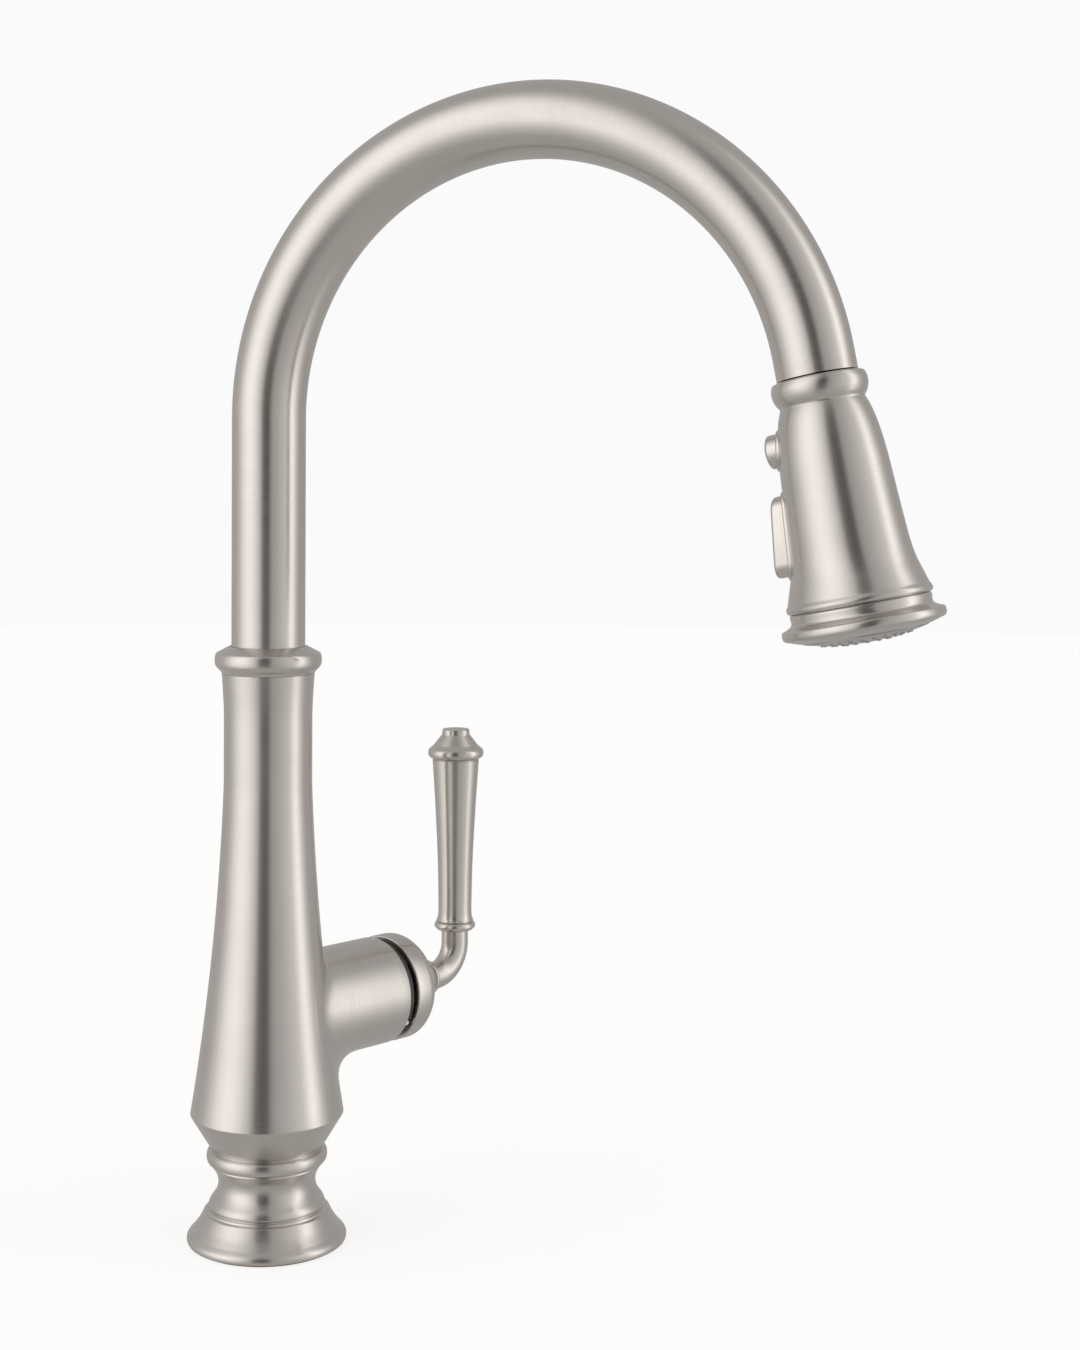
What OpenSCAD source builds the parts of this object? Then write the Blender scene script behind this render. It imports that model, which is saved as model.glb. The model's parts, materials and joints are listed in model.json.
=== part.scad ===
// Pull-down kitchen faucet: turned foot and column, swivelling gooseneck spout,
// side lever valve, and a docked spray head with a pause button and a mode rocker.
// Millimetres. +Z is up, the spout reaches towards -Y, and the origin is the
// centre of the foot's underside, on the face of the deck.

/* [Spout] */
// Outside diameter of the spout tube
tube_od = 27; // [24:0.1:33]
// Wall of the spout tube
tube_wall = 1.2; // [0.8:0.1:1.6]
// Height of the point where the straight leg meets the arch
leg_top = 304; // [250:1:370]
// Radius of the arch, to the middle of the tube
arch_r = 103; // [85:1:125]
// Angle that the arch turns through
arch_deg = 168.5; // [160:0.5:178]
// Straight length of tube after the arch
end_straight = 7; // [3:0.5:10]

/* [Column] */
// Wall of the column around the swivel bore
waist_wall = 2; // [1.5:0.1:3]
// How far the flare stands out from the waist at the crease
flare_out = 12; // [8:0.5:16]
// Wall of the hollow part of the column
column_wall = 3.2; // [2.5:0.1:4]
// Height of the column's top face, under the collar
column_top = 210.5; // [195:0.5:230]
// Height at which the waist starts to flare
flare_top = 170; // [150:1:180]
// Height of the crease at the widest part of the column
crease_z = 48; // [44:0.5:54]
// Height of the swivel collar
collar_h = 10.1; // [9:0.1:14]
// How far the collar stands out from the column's top
collar_out = 2.6; // [1.5:0.1:4]

/* [Foot] */
// Height of the foot
foot_h = 35.5; // [32:0.5:40]
// Wall of the foot around the threaded shank
foot_wall = 2.4; // [1.8:0.1:4]
// How far the rim stands out from the neck of the foot
rim_out = 11.5; // [9:0.5:16]
// How far the top bead stands out from the neck of the foot
bead_out = 4.2; // [3:0.1:6]

/* [Side boss and valve] */
// Height of the handle's axis above the deck
hub_z = 83.6; // [78:0.2:95]
// Direction of the handle's axis, turned from +X
handle_az = -20; // [-45:1:30]
// Distance of the boss's end face from the column's axis
boss_end = 54.5; // [52:0.5:62]
// Wall of the side boss
boss_wall = 2.9; // [2:0.1:4]
// Diameter of the ceramic disc cartridge
cartridge_d = 34.6; // [28:0.2:38]
// Gap between the boss and the handle cap
cap_gap = 4.3; // [3.5:0.1:6]

/* [Handle] */
// Length of the cylindrical rim of the handle cap
cap_rim = 6.7; // [4:0.1:9]
// Length of the domed part of the handle cap
cap_dome = 16.5; // [12:0.5:22]
// Diameter of the lever's bent stem
stem_d = 10.6; // [9:0.1:13]
// Bend radius of the lever's stem
stem_bend = 12; // [9:0.5:16]
// Height of the grip's lower end above the handle's axis
grip_start = 20.8; // [18:0.2:26]
// Length of the grip
grip_len = 64.6; // [50:0.2:80]
// Radius of the grip at its lower end
grip_r_low = 6.7; // [5.8:0.1:8]
// Radius of the grip at its upper end
grip_r_high = 9.3; // [8:0.1:11]

/* [Spray head] */
// Length of the collar ring at the top of the spray head
ring_len = 9.5; // [8:0.5:12]
// Length of the bell-shaped shell
shell_len = 66.5; // [60:0.5:76]
// How far the shell's top stands out from the spout tube
shell_top_out = 0.7; // [0.4:0.1:2]
// How far the shell's middle stands out from its top
shell_mid_out = 4.8; // [4:0.1:7]
// How far the shell's lower lip stands out from its middle
shell_low_out = 5.1; // [4:0.1:7]
// Wall of the shell
shell_wall = 1.6; // [1.2:0.1:2.2]
// How far the rim around the spray face stands out from the shell's lip
face_rim_out = 2.9; // [2:0.1:4]
// Depth of the rim and the face below the shell
face_len = 12.9; // [12:0.1:18]
// Diameter of the spray hose
hose_d = 11; // [9:0.1:13.2]

/* [Buttons] */
// Diameter of the pause button
pause_d = 11.4; // [9:0.1:13]
// Distance of the pause button's centre below the spout's end
pause_s = 21.8; // [20:0.1:24]
// Travel of the pause button
pause_travel = 1.5; // [1:0.1:2]
// Distance of the mode rocker's pivot below the spout's end
rocker_s = 50; // [48:0.2:53]
// Length of the mode rocker
rocker_len = 27; // [22:0.5:30]
// Width of the mode rocker
rocker_w = 10; // [8:0.2:12]

/* [Under the deck] */
// Diameter of the threaded shank
shank_od = 30; // [29:0.5:36]
// Wall of the threaded shank
shank_wall = 1.5; // [1.2:0.1:2]
// Thickest deck that the shank takes with its nut as drawn
deck_max = 30; // [20:1:40]
// Length of the shank below the deck's face
shank_len = 75; // [60:1:95]
// Diameter of the inlet and outlet tubes
pipe_d = 6.6; // [6:0.1:7]
// How far the inlet and outlet tubes hang below the shank
pipe_drop = 25; // [15:1:40]
// Length of the stepped end of each tube, for its hose
spigot_len = 12; // [8:1:14]

/* [Fits] */
// Radial clearance of a running fit
run_gap = 0.05; // [0.03:0.01:0.09]
// Radial clearance of a loose fit
loose_gap = 0.3; // [0.2:0.05:0.5]
// Gap between two flat faces that slide on each other
face_gap = 0.1; // [0.05:0.05:0.2]

/* [Hidden] */
$fn = 72;

nickel = [0.74, 0.72, 0.70];
brass = [0.78, 0.66, 0.42];
steel = [0.66, 0.66, 0.67];
black = [0.12, 0.12, 0.12];
white = [0.90, 0.90, 0.88];
rubber = [0.20, 0.20, 0.20];

// Swivel
tube_r = tube_od / 2;
tube_in_r = tube_r - tube_wall;
bush_wall = 0.7;
bore_r = tube_r + bush_wall;
waist_r = bore_r + waist_wall;
column_top_r = waist_r + 0.8;
crease_r = waist_r + flare_out;
top_flare = 14.5;
spigot_h = 3.3;
spigot_r = column_top_r - 0.4;
washer_t = 0.8;
flange_t = 1.5;
flange_z = column_top + spigot_h + washer_t + face_gap;
flange_r = spigot_r - 0.6;
tube_start = flange_z + flange_t;
shank_low = column_top - 50;
shank_r = bore_r - 1;
sleeve_up = 30;
sleeve_bore = tube_in_r - 2.3;
bush_h = 10;
bush_in_r = shank_r - 0.6;
seal_r = 0.8;
cavity_top = 145;
bush_drop = 0.5;

// Arch and the frame of the spray head
lean = 180 - arch_deg;
head_y = -arch_r * (1 - cos(arch_deg)) - end_straight * sin(lean);
head_z = leg_top + arch_r * sin(arch_deg) - end_straight * cos(lean);
spout_end_gap = 0.4;
hose_r = hose_d / 2;
plug_r = hose_r + 3.2;
dock_r = plug_r + loose_gap;
plug_top = 7;
hose_end = 1;

// Foot and shank
thread_r = shank_od / 2;
shank_in_r = thread_r - shank_wall;
shank_gap = 0.5;
foot_bore = thread_r + shank_gap;
neck_r = foot_bore + foot_wall;
foot_r = neck_r + rim_out;
bead_r = neck_r + bead_out;
rim_curl = 2.4;
gasket_r = [foot_bore + 4, foot_bore + 9];
gasket_t = 2;
socket_h = 10;
column_low_r = bead_r - 1.5;
nut_h = 10;
washer_r = foot_r - 2;
deck_washer_t = 3;
clamp_t = 2;
nut_r = thread_r + 9;
jack_r = 2.5;
jack_pcd_r = thread_r + 5;
jack_len = 26;
pipe_r = pipe_d / 2;
pipe_low = -shank_len - pipe_drop;
pipe_wall = 0.8;
spigot_end_r = pipe_r - 0.5;
hose_off = -(shank_in_r - hose_r - 0.4);
cartridge_r = cartridge_d / 2;
cup_r = cartridge_r - 3;
port_r = 2.6;
port_side = cup_r - 5.5;
port_down = cup_r - 5.3;
inlet_pos = [4.2, port_side];
outlet_pos = [shank_in_r - pipe_r - 0.6, 0];
hose_bend = 60;
hose_bend_top = shank_low - 4;

// Valve, measured along the handle's axis from the column's axis
boss_bore = cartridge_r + 0.2;
boss_r = boss_bore + boss_wall;
manifold_end = 22;
cartridge_from = manifold_end + loose_gap;
cartridge_to = boss_end - 7.5;
base_t = 3;
disc_t = 3.5;
fixed_from = cartridge_from + base_t + face_gap;
moving_from = fixed_from + disc_t + face_gap;
moving_r = cup_r - 4.3;
rotor_from = moving_from + disc_t + 0.5;
rotor_to = cartridge_to - 2;
pivot_l = rotor_from + 7;
rotor_pin_r = 1.5;
valve_stem_r = 4;
tail_r = 2.1;
tail_from = moving_from + 1.3;
valve_stem_to = boss_end + 7.5;
nut_to = boss_end - 2.5;
bonnet_r = boss_r - 1.8;
bonnet_bore = cup_r - 1.8;
bonnet_to = boss_end + cap_gap - 0.8;
cap_from = boss_end + cap_gap;
cap_shoulder = cap_from + cap_rim;
cap_to = cap_shoulder + cap_dome;
cap_in_r = boss_r - 1.7;
cap_tip_r = stem_d / 2 + 1;
cap_wall = 2.2;
cap_sleeve_r = 7;
cap_sleeve_from = boss_end + 1.5;
cap_screw_l = cap_from + 3.2;
cap_screw_r = 2;
lever_ring_t = 2.4;
lever_ring_r = stem_d / 2 + 1.5;
stem_r = stem_d / 2;
stem_from = cap_to + lever_ring_t;
lever_l = stem_from + 2.5 + stem_bend;
stud_r = 3.1;
stud_len = 10;
ferrule_h = 4.2;
ferrule_r = grip_r_low + 1.5;
finial_flange_r = grip_r_high + 1.8;
finial_knob_r = 5.2;
finial_h = 12.5;

// Spray head, measured down its axis from the spout's end
shell_r_top = tube_r + shell_top_out;
shell_r_mid = shell_r_top + shell_mid_out;
shell_r_low = shell_r_mid + shell_low_out;
rim_r = shell_r_low + face_rim_out;
ring_bead_r = shell_r_top + 1.8;
shell_from = ring_len;
shell_to = ring_len + shell_len;
face_to = shell_to + face_len;
core_r = shell_r_top - 2.6;
core_from = ring_len;
core_to = shell_to - 2;
core_way_r = 4;
ferrule_out_r = hose_r + 1.2;
ferrule_from = 1.5;
valve_r = 5.6;
valve_len = 9;
rim_inner_r = rim_r - 6;
rim_to = shell_to + 10;
face_drop = 2.7;
plate_from = shell_to + 9.3;
nozzle_r = 0.75;
nozzle_proud = 0.3;
aerator_r = 4.6;
nozzle_rings = [[aerator_r + 3, 12], [aerator_r + 6.6, 18], [aerator_r + 10, 24]];
mat_t = 1.5;
mat_r = rim_inner_r - 4.3;
mat_to = shell_to + 9;
pause_r = pause_d / 2;
pause_stem_r = 2.4;
rocker_pivot = shell_r_mid - 0.6;
rocker_tilt = 2;
rocker_slack = 0.5;
rocker_pin_r = 1;
spool_r = 2.6;
spool_y = 7.4;
spool_len = 16;
spool_pocket = 22;

// Points of an arc about c, from angle a to angle b
function arc(c, r, a, b, n = 8) =
    [for (i = [0 : n]) c + r * [cos(a + (b - a) * i / n), sin(a + (b - a) * i / n)]];

// Points of a smooth curve between two points, level at its first end
function ease(p, q, bow, n = 8) =
    [for (i = [0 : n]) let (t = i / n) [p[0] + (q[0] - p[0]) * pow(t, bow), p[1] + (q[1] - p[1]) * t]];

// Outer radius of the column's waist and flare at height z
function column_r(z) =
    z > column_top - top_flare
        ? waist_r + (column_top_r - waist_r) * pow((z - column_top + top_flare) / top_flare, 1.3)
        : z > flare_top ? waist_r
        : let (t = (flare_top - z) / (flare_top - crease_z)) waist_r + flare_out * (0.35 * t + 0.65 * t * t);

// Outer radius of the spray shell at a distance s below the spout's end
function shell_r(s) =
    let (t = (s - shell_from) / shell_len)
        t < 0.55
            ? shell_r_top + (shell_r_mid - shell_r_top) * (1 - pow(1 - t / 0.55, 2.6))
            : shell_r_mid + (shell_r_low - 1 - shell_r_mid) * pow((t - 0.55) / 0.45, 2.2);

// Outer radius of the grip at a share t of its length
function grip_r(t) = grip_r_low + (grip_r_high - grip_r_low) * pow(t, 1.8) + 0.6 * pow(max(0, 1 - t * 14), 2);

// Radius of the handle cap's dome at a share t of its length
function dome_r(t) =
    let (full = boss_r - cap_tip_r)
        cap_tip_r + full * (1 - pow(t, 0.9)) * (1 - 0.18 * sin(180 * t)) + 0.9 * sin(180 * pow(1 - t, 3));

// Frame of the spray head: Z up its axis, +Y towards the column
module in_head() {
    translate([0, head_y, head_z]) rotate([-lean, 0, 0]) children();
}

// Frame of the valve: Z out along the handle's axis, +X downwards
module in_valve() {
    translate([0, 0, hub_z]) rotate([0, 0, handle_az]) rotate([0, 90, 0]) children();
}

// Frame of the lever's upright part: Z up through the grip
module in_grip() {
    rotate([0, 0, handle_az]) translate([lever_l, 0, hub_z]) children();
}

// A washer or sleeve between two heights
module sleeve(r_out, r_in, low, high) {
    rotate_extrude() translate([r_in, low]) square([r_out - r_in, high - low]);
}

// A solid disc or rod between two heights
module rod(r, low, high) {
    translate([0, 0, low]) cylinder(r = r, h = high - low);
}

// A rod across the spray head, along +Y, at a distance s below the spout's end
module cross_rod(r, s, low, high) {
    translate([0, low, -s]) rotate([-90, 0, 0]) cylinder(r = r, h = high - low);
}

// A prism with round ends, its length along the head's axis and its depth along Y
module racetrack(len, w, s, low, high) {
    half = len / 2 - w / 2;
    for (side = [-1, 1])
        cross_rod(w / 2, s + side * half, low, high);
    translate([-w / 2, low, -s - half]) cube([w, high - low, 2 * half]);
}

// ---- Foot and what lies under it ----

module foot() {
    color(nickel) rotate_extrude() polygon(concat(
        [[foot_bore, 0], [gasket_r[0], 0], [gasket_r[0], gasket_t]],
        [[gasket_r[1], gasket_t], [gasket_r[1], 0]],
        arc([foot_r - rim_curl, rim_curl], rim_curl, -90, 35),
        [[neck_r + 5.4, 11.3]],
        [[neck_r + 5.2, 12.2], [neck_r + 3.4, 12.8], [neck_r + 3.2, 14.4]],
        arc([neck_r + 5.6, 21.8], 5.6, 230, 128),
        arc([bead_r - 2, 32.2], 2, -50, 70),
        [[bead_r - 1.5, foot_h], [foot_bore, foot_h]]
    ));
}

module deck_gasket() {
    color(rubber) sleeve(gasket_r[1], gasket_r[0], 0, gasket_t);
}

module shank() {
    color(brass) rotate_extrude() polygon([
        [shank_in_r, -shank_len], [thread_r - 0.15, -shank_len], [thread_r - 0.15, -deck_max],
        [thread_r, -deck_max], [thread_r, 0], [thread_r - 0.1, 0],
        [thread_r - 0.1, foot_h + socket_h - 0.5], [shank_in_r, foot_h + socket_h - 0.5]
    ]);
}

module deck_washer() {
    color(rubber) sleeve(washer_r, thread_r + shank_gap, -deck_max - deck_washer_t, -deck_max);
}

module clamp_washer() {
    under = -deck_max - deck_washer_t;
    color(steel) sleeve(washer_r, thread_r + shank_gap, under - clamp_t, under);
}

module mounting_nut() {
    top = -deck_max - deck_washer_t - clamp_t;
    color(brass) difference() {
        union() {
            rod(nut_r, top - nut_h + 3, top);
            translate([0, 0, top - nut_h]) cylinder(r = nut_r, h = 3, $fn = 6);
        }
        rod(thread_r - 0.15, top - nut_h - 1, top + 1);
        for (side = [-1, 1])
            translate([side * jack_pcd_r, 0, 0]) rod(jack_r, top - nut_h - 1, top + 1);
    }
}

module jack_screws() {
    top = -deck_max - deck_washer_t - clamp_t;
    color(steel) for (side = [-1, 1])
        translate([side * jack_pcd_r, 0, 0]) {
            rod(jack_r, top - jack_len, top);
            translate([0, 0, top - jack_len - 3]) cylinder(r = jack_r + 1.5, h = 3, $fn = 6);
        }
}

// An inlet or outlet tube at a place across the shank, up to the manifold
module pipe(pos, high) {
    rotate([0, 0, handle_az]) translate([pos[0], pos[1], 0]) rotate_extrude() polygon([
        [pipe_r - pipe_wall, pipe_low], [spigot_end_r, pipe_low], [spigot_end_r, pipe_low + spigot_len],
        [pipe_r, pipe_low + spigot_len], [pipe_r, high], [pipe_r - pipe_wall, high]
    ]);
}

module hot_inlet() {
    color("indianred") pipe(inlet_pos, hub_z - 8);
}

module cold_inlet() {
    color("steelblue") pipe([inlet_pos[0], -inlet_pos[1]], hub_z - 8);
}

module outlet_tube() {
    color(brass) pipe(outlet_pos, hub_z - port_down - 6);
}

// ---- Column ----

module column_shell() {
    steps = 16;
    low_z = crease_z + 5;
    color(nickel) difference() {
        union() {
            rotate_extrude() polygon(concat(
                [[foot_bore - shank_gap, foot_h], [column_low_r, foot_h]],
                [[crease_r - 0.4, crease_z - 0.9], [crease_r, crease_z]],
                [for (i = [1 : steps]) let (z = crease_z + (flare_top - crease_z) * i / steps)
                    [column_r(z), z]],
                [for (i = [0 : 4]) let (z = column_top - top_flare + top_flare * i / 4) [column_r(z), z]],
                [[spigot_r, column_top], [spigot_r, column_top + spigot_h], [bore_r, column_top + spigot_h]],
                [[bore_r, cavity_top]],
                [for (i = [0 : steps]) let (z = cavity_top + (low_z - cavity_top) * i / steps)
                    [max(bore_r, column_r(z) - column_wall), z]],
                [[thread_r, foot_h + socket_h]]
            ));
            in_valve() difference() {
                rod(boss_r, 0, boss_end);
                translate([0, 0, -1]) rotate([0, -90, 0]) translate([0, 0, -boss_r - 1])
                    cylinder(r = column_r(hub_z) - column_wall, h = 2 * boss_r + 2);
            }
        }
        in_valve() rod(boss_bore, -2, boss_end + 1);
    }
}

module swivel_collar() {
    edge = column_top_r + collar_out;
    top = column_top + collar_h;
    lip = tube_r + loose_gap;
    color(nickel) rotate_extrude() polygon(concat(
        [[spigot_r + face_gap / 2, column_top + face_gap / 2], [column_top_r, column_top + face_gap / 2]],
        [[column_top_r + 0.3, column_top + 0.8]],
        arc([edge - 2.8, column_top + 4.9], 2.8, -38, 38),
        [[lip + 0.8, top], [lip, top - 0.5], [lip, tube_start + 0.8]],
        [[spigot_r + face_gap / 2, tube_start + 0.8]]
    ));
}

module thrust_washer() {
    color(white) sleeve(spigot_r - 0.2, bore_r, column_top + spigot_h, column_top + spigot_h + washer_t);
}

// ---- Spout ----

// The cross-section of a tube, swept along the spout's line from a height
module along_spout(r_out, r_in, from_z, to_end) {
    sleeve(r_out, r_in, from_z, leg_top);
    translate([0, -arch_r, leg_top]) rotate([90, 0, 90]) rotate_extrude(angle = arch_deg)
        translate([arch_r, 0]) difference() {
            circle(r = r_out);
            circle(r = r_in);
        }
    in_head() sleeve(r_out, r_in, to_end, end_straight);
}

module spout_tube() {
    color(nickel) along_spout(tube_r, tube_in_r, tube_start, 0);
}

module spout_shank() {
    low_bush = shank_low + 2;
    high_bush = column_top - bush_h - bush_drop;
    seal_z = (low_bush + high_bush + bush_h) / 2;
    color(brass) difference() {
        rotate_extrude() polygon([
            [sleeve_bore, shank_low], [shank_r, shank_low],
            [shank_r, low_bush], [bush_in_r, low_bush],
            [bush_in_r, low_bush + bush_h], [shank_r, low_bush + bush_h],
            [shank_r, high_bush], [bush_in_r, high_bush],
            [bush_in_r, high_bush + bush_h], [shank_r, high_bush + bush_h],
            [shank_r, flange_z], [flange_r, flange_z], [flange_r, tube_start], [tube_in_r, tube_start],
            [tube_in_r, tube_start + sleeve_up], [sleeve_bore, tube_start + sleeve_up]
        ]);
        rotate_extrude() translate([bore_r - run_gap - seal_r, seal_z]) circle(r = seal_r);
    }
}

module lower_bush() {
    color(white) sleeve(bore_r - run_gap, bush_in_r, shank_low + 2, shank_low + 2 + bush_h);
}

module upper_bush() {
    color(white) sleeve(bore_r - run_gap, bush_in_r, column_top - bush_h - bush_drop, column_top - bush_drop);
}

module friction_ring() {
    seal_z = (shank_low + 2 + column_top - bush_drop) / 2;
    color(rubber) rotate_extrude() translate([bore_r - run_gap - seal_r, seal_z]) circle(r = seal_r);
}

module dock_insert() {
    color(black) in_head() difference() {
        rod(tube_in_r, 0, end_straight);
        translate([0, 0, -1]) cylinder(r = dock_r, h = end_straight + 2);
    }
}

module spray_hose() {
    low = hose_bend_top;
    color("dimgray") {
        rod(hose_r, low, leg_top);
        translate([0, -arch_r, leg_top]) rotate([90, 0, 90]) rotate_extrude(angle = arch_deg)
            translate([arch_r, 0]) circle(r = hose_r);
        in_head() rod(hose_r, hose_end, end_straight);
    }
}

// The hose bends aside below the swivel, to run down beside the inlet tubes
module lower_hose() {
    turn = acos(1 + hose_off / (2 * hose_bend));
    fall = 2 * hose_bend * sin(turn);
    color("dimgray") rotate([0, 0, handle_az]) {
        translate([-hose_bend, 0, hose_bend_top]) rotate([-90, 0, 0])
            rotate_extrude(angle = turn) translate([hose_bend, 0]) circle(r = hose_r);
        translate([hose_off + hose_bend, 0, hose_bend_top - fall]) rotate([-90, 0, 0]) rotate([0, 0, 180])
            rotate_extrude(angle = turn) translate([hose_bend, 0]) circle(r = hose_r);
        translate([hose_off, 0, 0]) rod(hose_r, pipe_low, hose_bend_top - fall);
    }
}

// ---- Valve in the side boss ----

module valve_manifold() {
    color(brass) difference() {
        in_valve() difference() {
            rod(cartridge_r, 0, manifold_end);
            for (side = [-1, 1])
                translate([0, side * port_side, 0]) rod(port_r, inlet_pos[0], manifold_end + 1);
            translate([port_down, 0, 0]) rod(port_r, outlet_pos[0], manifold_end + 1);
        }
        rotate([0, 0, handle_az]) {
            for (side = [-1, 1])
                translate([inlet_pos[0], side * inlet_pos[1], 0]) {
                    rod(pipe_r, hub_z - 2 * cartridge_r, hub_z - 8);
                    rod(port_r, hub_z - 9, hub_z);
                }
            translate([outlet_pos[0], 0, 0]) {
                rod(pipe_r, hub_z - 2 * cartridge_r, hub_z - port_down - 6);
                rod(port_r, hub_z - port_down - 7, hub_z - port_down);
            }
        }
    }
}

// The three water ways through the cartridge's base and its fixed disc
module water_ways(from, to) {
    for (side = [-1, 1])
        translate([0, side * port_side, 0]) rod(port_r, from, to);
    translate([port_down, 0, 0]) rod(port_r, from, to);
}

module cartridge_body() {
    color(white) in_valve() difference() {
        rod(cartridge_r, cartridge_from, cartridge_to);
        rod(cup_r, cartridge_from + base_t, cartridge_to + 1);
        water_ways(cartridge_from - 1, cartridge_from + base_t + 1);
    }
}

module port_seals() {
    color(rubber) in_valve() {
        for (side = [-1, 1])
            translate([0, side * port_side, 0]) sleeve(port_r + 1.2, port_r, manifold_end, cartridge_from);
        translate([port_down, 0, 0]) sleeve(port_r + 1.2, port_r, manifold_end, cartridge_from);
    }
}

module fixed_disc() {
    color(white) in_valve() difference() {
        rod(cup_r - loose_gap, fixed_from, fixed_from + disc_t);
        water_ways(fixed_from - 1, fixed_from + disc_t + 1);
    }
}

module moving_disc() {
    color([0.8, 0.8, 0.85]) in_valve() difference() {
        rod(moving_r, moving_from, moving_from + disc_t);
        rod(tail_r + 0.8, moving_from + 1, moving_from + disc_t + 1);
    }
}

module cartridge_rotor() {
    slot = valve_stem_r + loose_gap;
    color("dimgray") in_valve() difference() {
        rod(cup_r - run_gap, rotor_from, rotor_to);
        translate([-valve_stem_r - 3, -slot, rotor_from - 1])
            cube([2 * (valve_stem_r + 3), 2 * slot, rotor_to - rotor_from + 2]);
        translate([0, 0, pivot_l]) rotate([90, 0, 0]) cylinder(r = rotor_pin_r, h = 2 * cup_r, center = true);
    }
}

module rotor_pin() {
    color(steel) in_valve() translate([0, 0, pivot_l]) rotate([90, 0, 0])
        cylinder(r = rotor_pin_r, h = 2 * cup_r - 3, center = true);
}

module cartridge_stem() {
    color(steel) in_valve() difference() {
        union() {
            rod(valve_stem_r, pivot_l - 3.5, valve_stem_to);
            rod(tail_r, tail_from, pivot_l - 3);
        }
        translate([0, 0, pivot_l]) rotate([90, 0, 0])
            cylinder(r = rotor_pin_r + run_gap, h = 4 * valve_stem_r, center = true);
    }
}

module cartridge_nut() {
    color(brass) in_valve() sleeve(boss_bore, bonnet_bore, cartridge_to, nut_to);
}

module bonnet_ring() {
    color(black) in_valve() difference() {
        rotate_extrude() polygon([
            [bonnet_bore, nut_to], [boss_bore - face_gap, nut_to],
            [boss_bore - face_gap, boss_end + face_gap], [bonnet_r, boss_end + face_gap],
            [bonnet_r, bonnet_to - 0.8], [bonnet_r - 0.8, bonnet_to],
            [bonnet_bore, bonnet_to]
        ]);
        rotate([0, 0, -56]) translate([bonnet_r - 2.5, 0, boss_end + cap_gap / 2]) rotate([0, 90, 0])
            cylinder(r = 1, h = 5);
    }
}

module bonnet_screw() {
    color(white) in_valve() rotate([0, 0, -56]) translate([bonnet_r - 2.5, 0, boss_end + cap_gap / 2])
        rotate([0, 90, 0]) cylinder(r = 1, h = 2.8);
}

// ---- Handle ----

module handle_cap() {
    steps = 12;
    inner_to = cap_to - 7;
    color(nickel) in_valve() difference() {
        union() {
            rotate_extrude() polygon(concat(
                [[cap_in_r, cap_from], [boss_r - 0.5, cap_from]],
                [[boss_r, cap_from + 0.5], [boss_r, cap_shoulder]],
                [for (i = [1 : steps]) [dome_r(i / steps), cap_shoulder + cap_dome * i / steps]],
                [[0, cap_to], [0, inner_to]],
                [for (i = [0 : 4]) let (t = 1 - i / 4)
                    [max(0, dome_r(t) - cap_wall) * (1 - t), cap_shoulder + (inner_to - cap_shoulder) * t]],
                [[cap_in_r, cap_shoulder]]
            ));
            rod(cap_sleeve_r, cap_sleeve_from, inner_to + 1);
        }
        rod(valve_stem_r, cap_sleeve_from - 1, valve_stem_to);
        rod(stud_r, cap_to - stud_len + 2, cap_to + 1);
        translate([0, 0, cap_screw_l]) rotate([0, 90, 0]) cylinder(r = cap_screw_r, h = boss_r + 1);
    }
}

module cap_screw() {
    color(steel) in_valve() translate([valve_stem_r, 0, cap_screw_l]) rotate([0, 90, 0])
        cylinder(r = cap_screw_r, h = cap_sleeve_r - valve_stem_r + 1.5);
}

module lever_ring() {
    half = lever_ring_t / 2;
    color(nickel) in_valve() rotate_extrude() polygon(concat(
        [[stud_r, cap_to]],
        arc([lever_ring_r - half, cap_to + half], half, -90, 90),
        [[stud_r, stem_from]]
    ));
}

module lever_stem() {
    color(nickel) {
        in_valve() {
            rod(stud_r, cap_to - stud_len + 2, stem_from);
            rod(stem_r, stem_from, lever_l - stem_bend);
        }
        rotate([0, 0, handle_az]) translate([lever_l - stem_bend, 0, hub_z + stem_bend])
            rotate([90, 0, 0]) rotate([0, 0, -90]) rotate_extrude(angle = 90)
                translate([stem_bend, 0]) circle(r = stem_r);
        in_grip() {
            rod(stem_r, stem_bend, grip_start - ferrule_h);
            rod(stud_r, grip_start - ferrule_h, grip_start + stud_len);
        }
    }
}

module grip_ferrule() {
    half = ferrule_h / 2;
    color(nickel) in_grip() rotate_extrude() polygon(concat(
        [[stud_r, grip_start - ferrule_h], [stem_r, grip_start - ferrule_h]],
        arc([ferrule_r - half * 0.7, grip_start - half], half * 0.7, -90, 90),
        [[grip_r(0), grip_start], [stud_r, grip_start]]
    ));
}

module lever_grip() {
    steps = 18;
    color(nickel) in_grip() difference() {
        rotate_extrude() polygon(concat(
            [[0, grip_start]],
            [for (i = [0 : steps]) [grip_r(i / steps), grip_start + grip_len * i / steps]],
            [[0, grip_start + grip_len]]
        ));
        rod(stud_r, grip_start - 1, grip_start + stud_len + 0.5);
        rod(stud_r, grip_start + grip_len - stud_len, grip_start + grip_len + 1);
    }
}

module finial() {
    base = grip_start + grip_len;
    color(nickel) in_grip() {
        rotate_extrude() polygon(concat(
            [[0, base], [grip_r_high - 0.3, base], [grip_r_high - 0.2, base + 0.8]],
            arc([finial_flange_r - 1.9, base + 2.9], 1.9, -60, 80),
            [[finial_flange_r - 2.6, base + 5.4], [finial_knob_r + 0.2, base + 9.4]],
            [[finial_knob_r, base + 9.8]],
            arc([finial_knob_r - 1.2, base + finial_h - 1.2], 1.2, 0, 90),
            [[0, base + finial_h]]
        ));
        rod(stud_r, base - stud_len + 1, base + 1);
    }
}

// ---- Spray head ----

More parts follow.
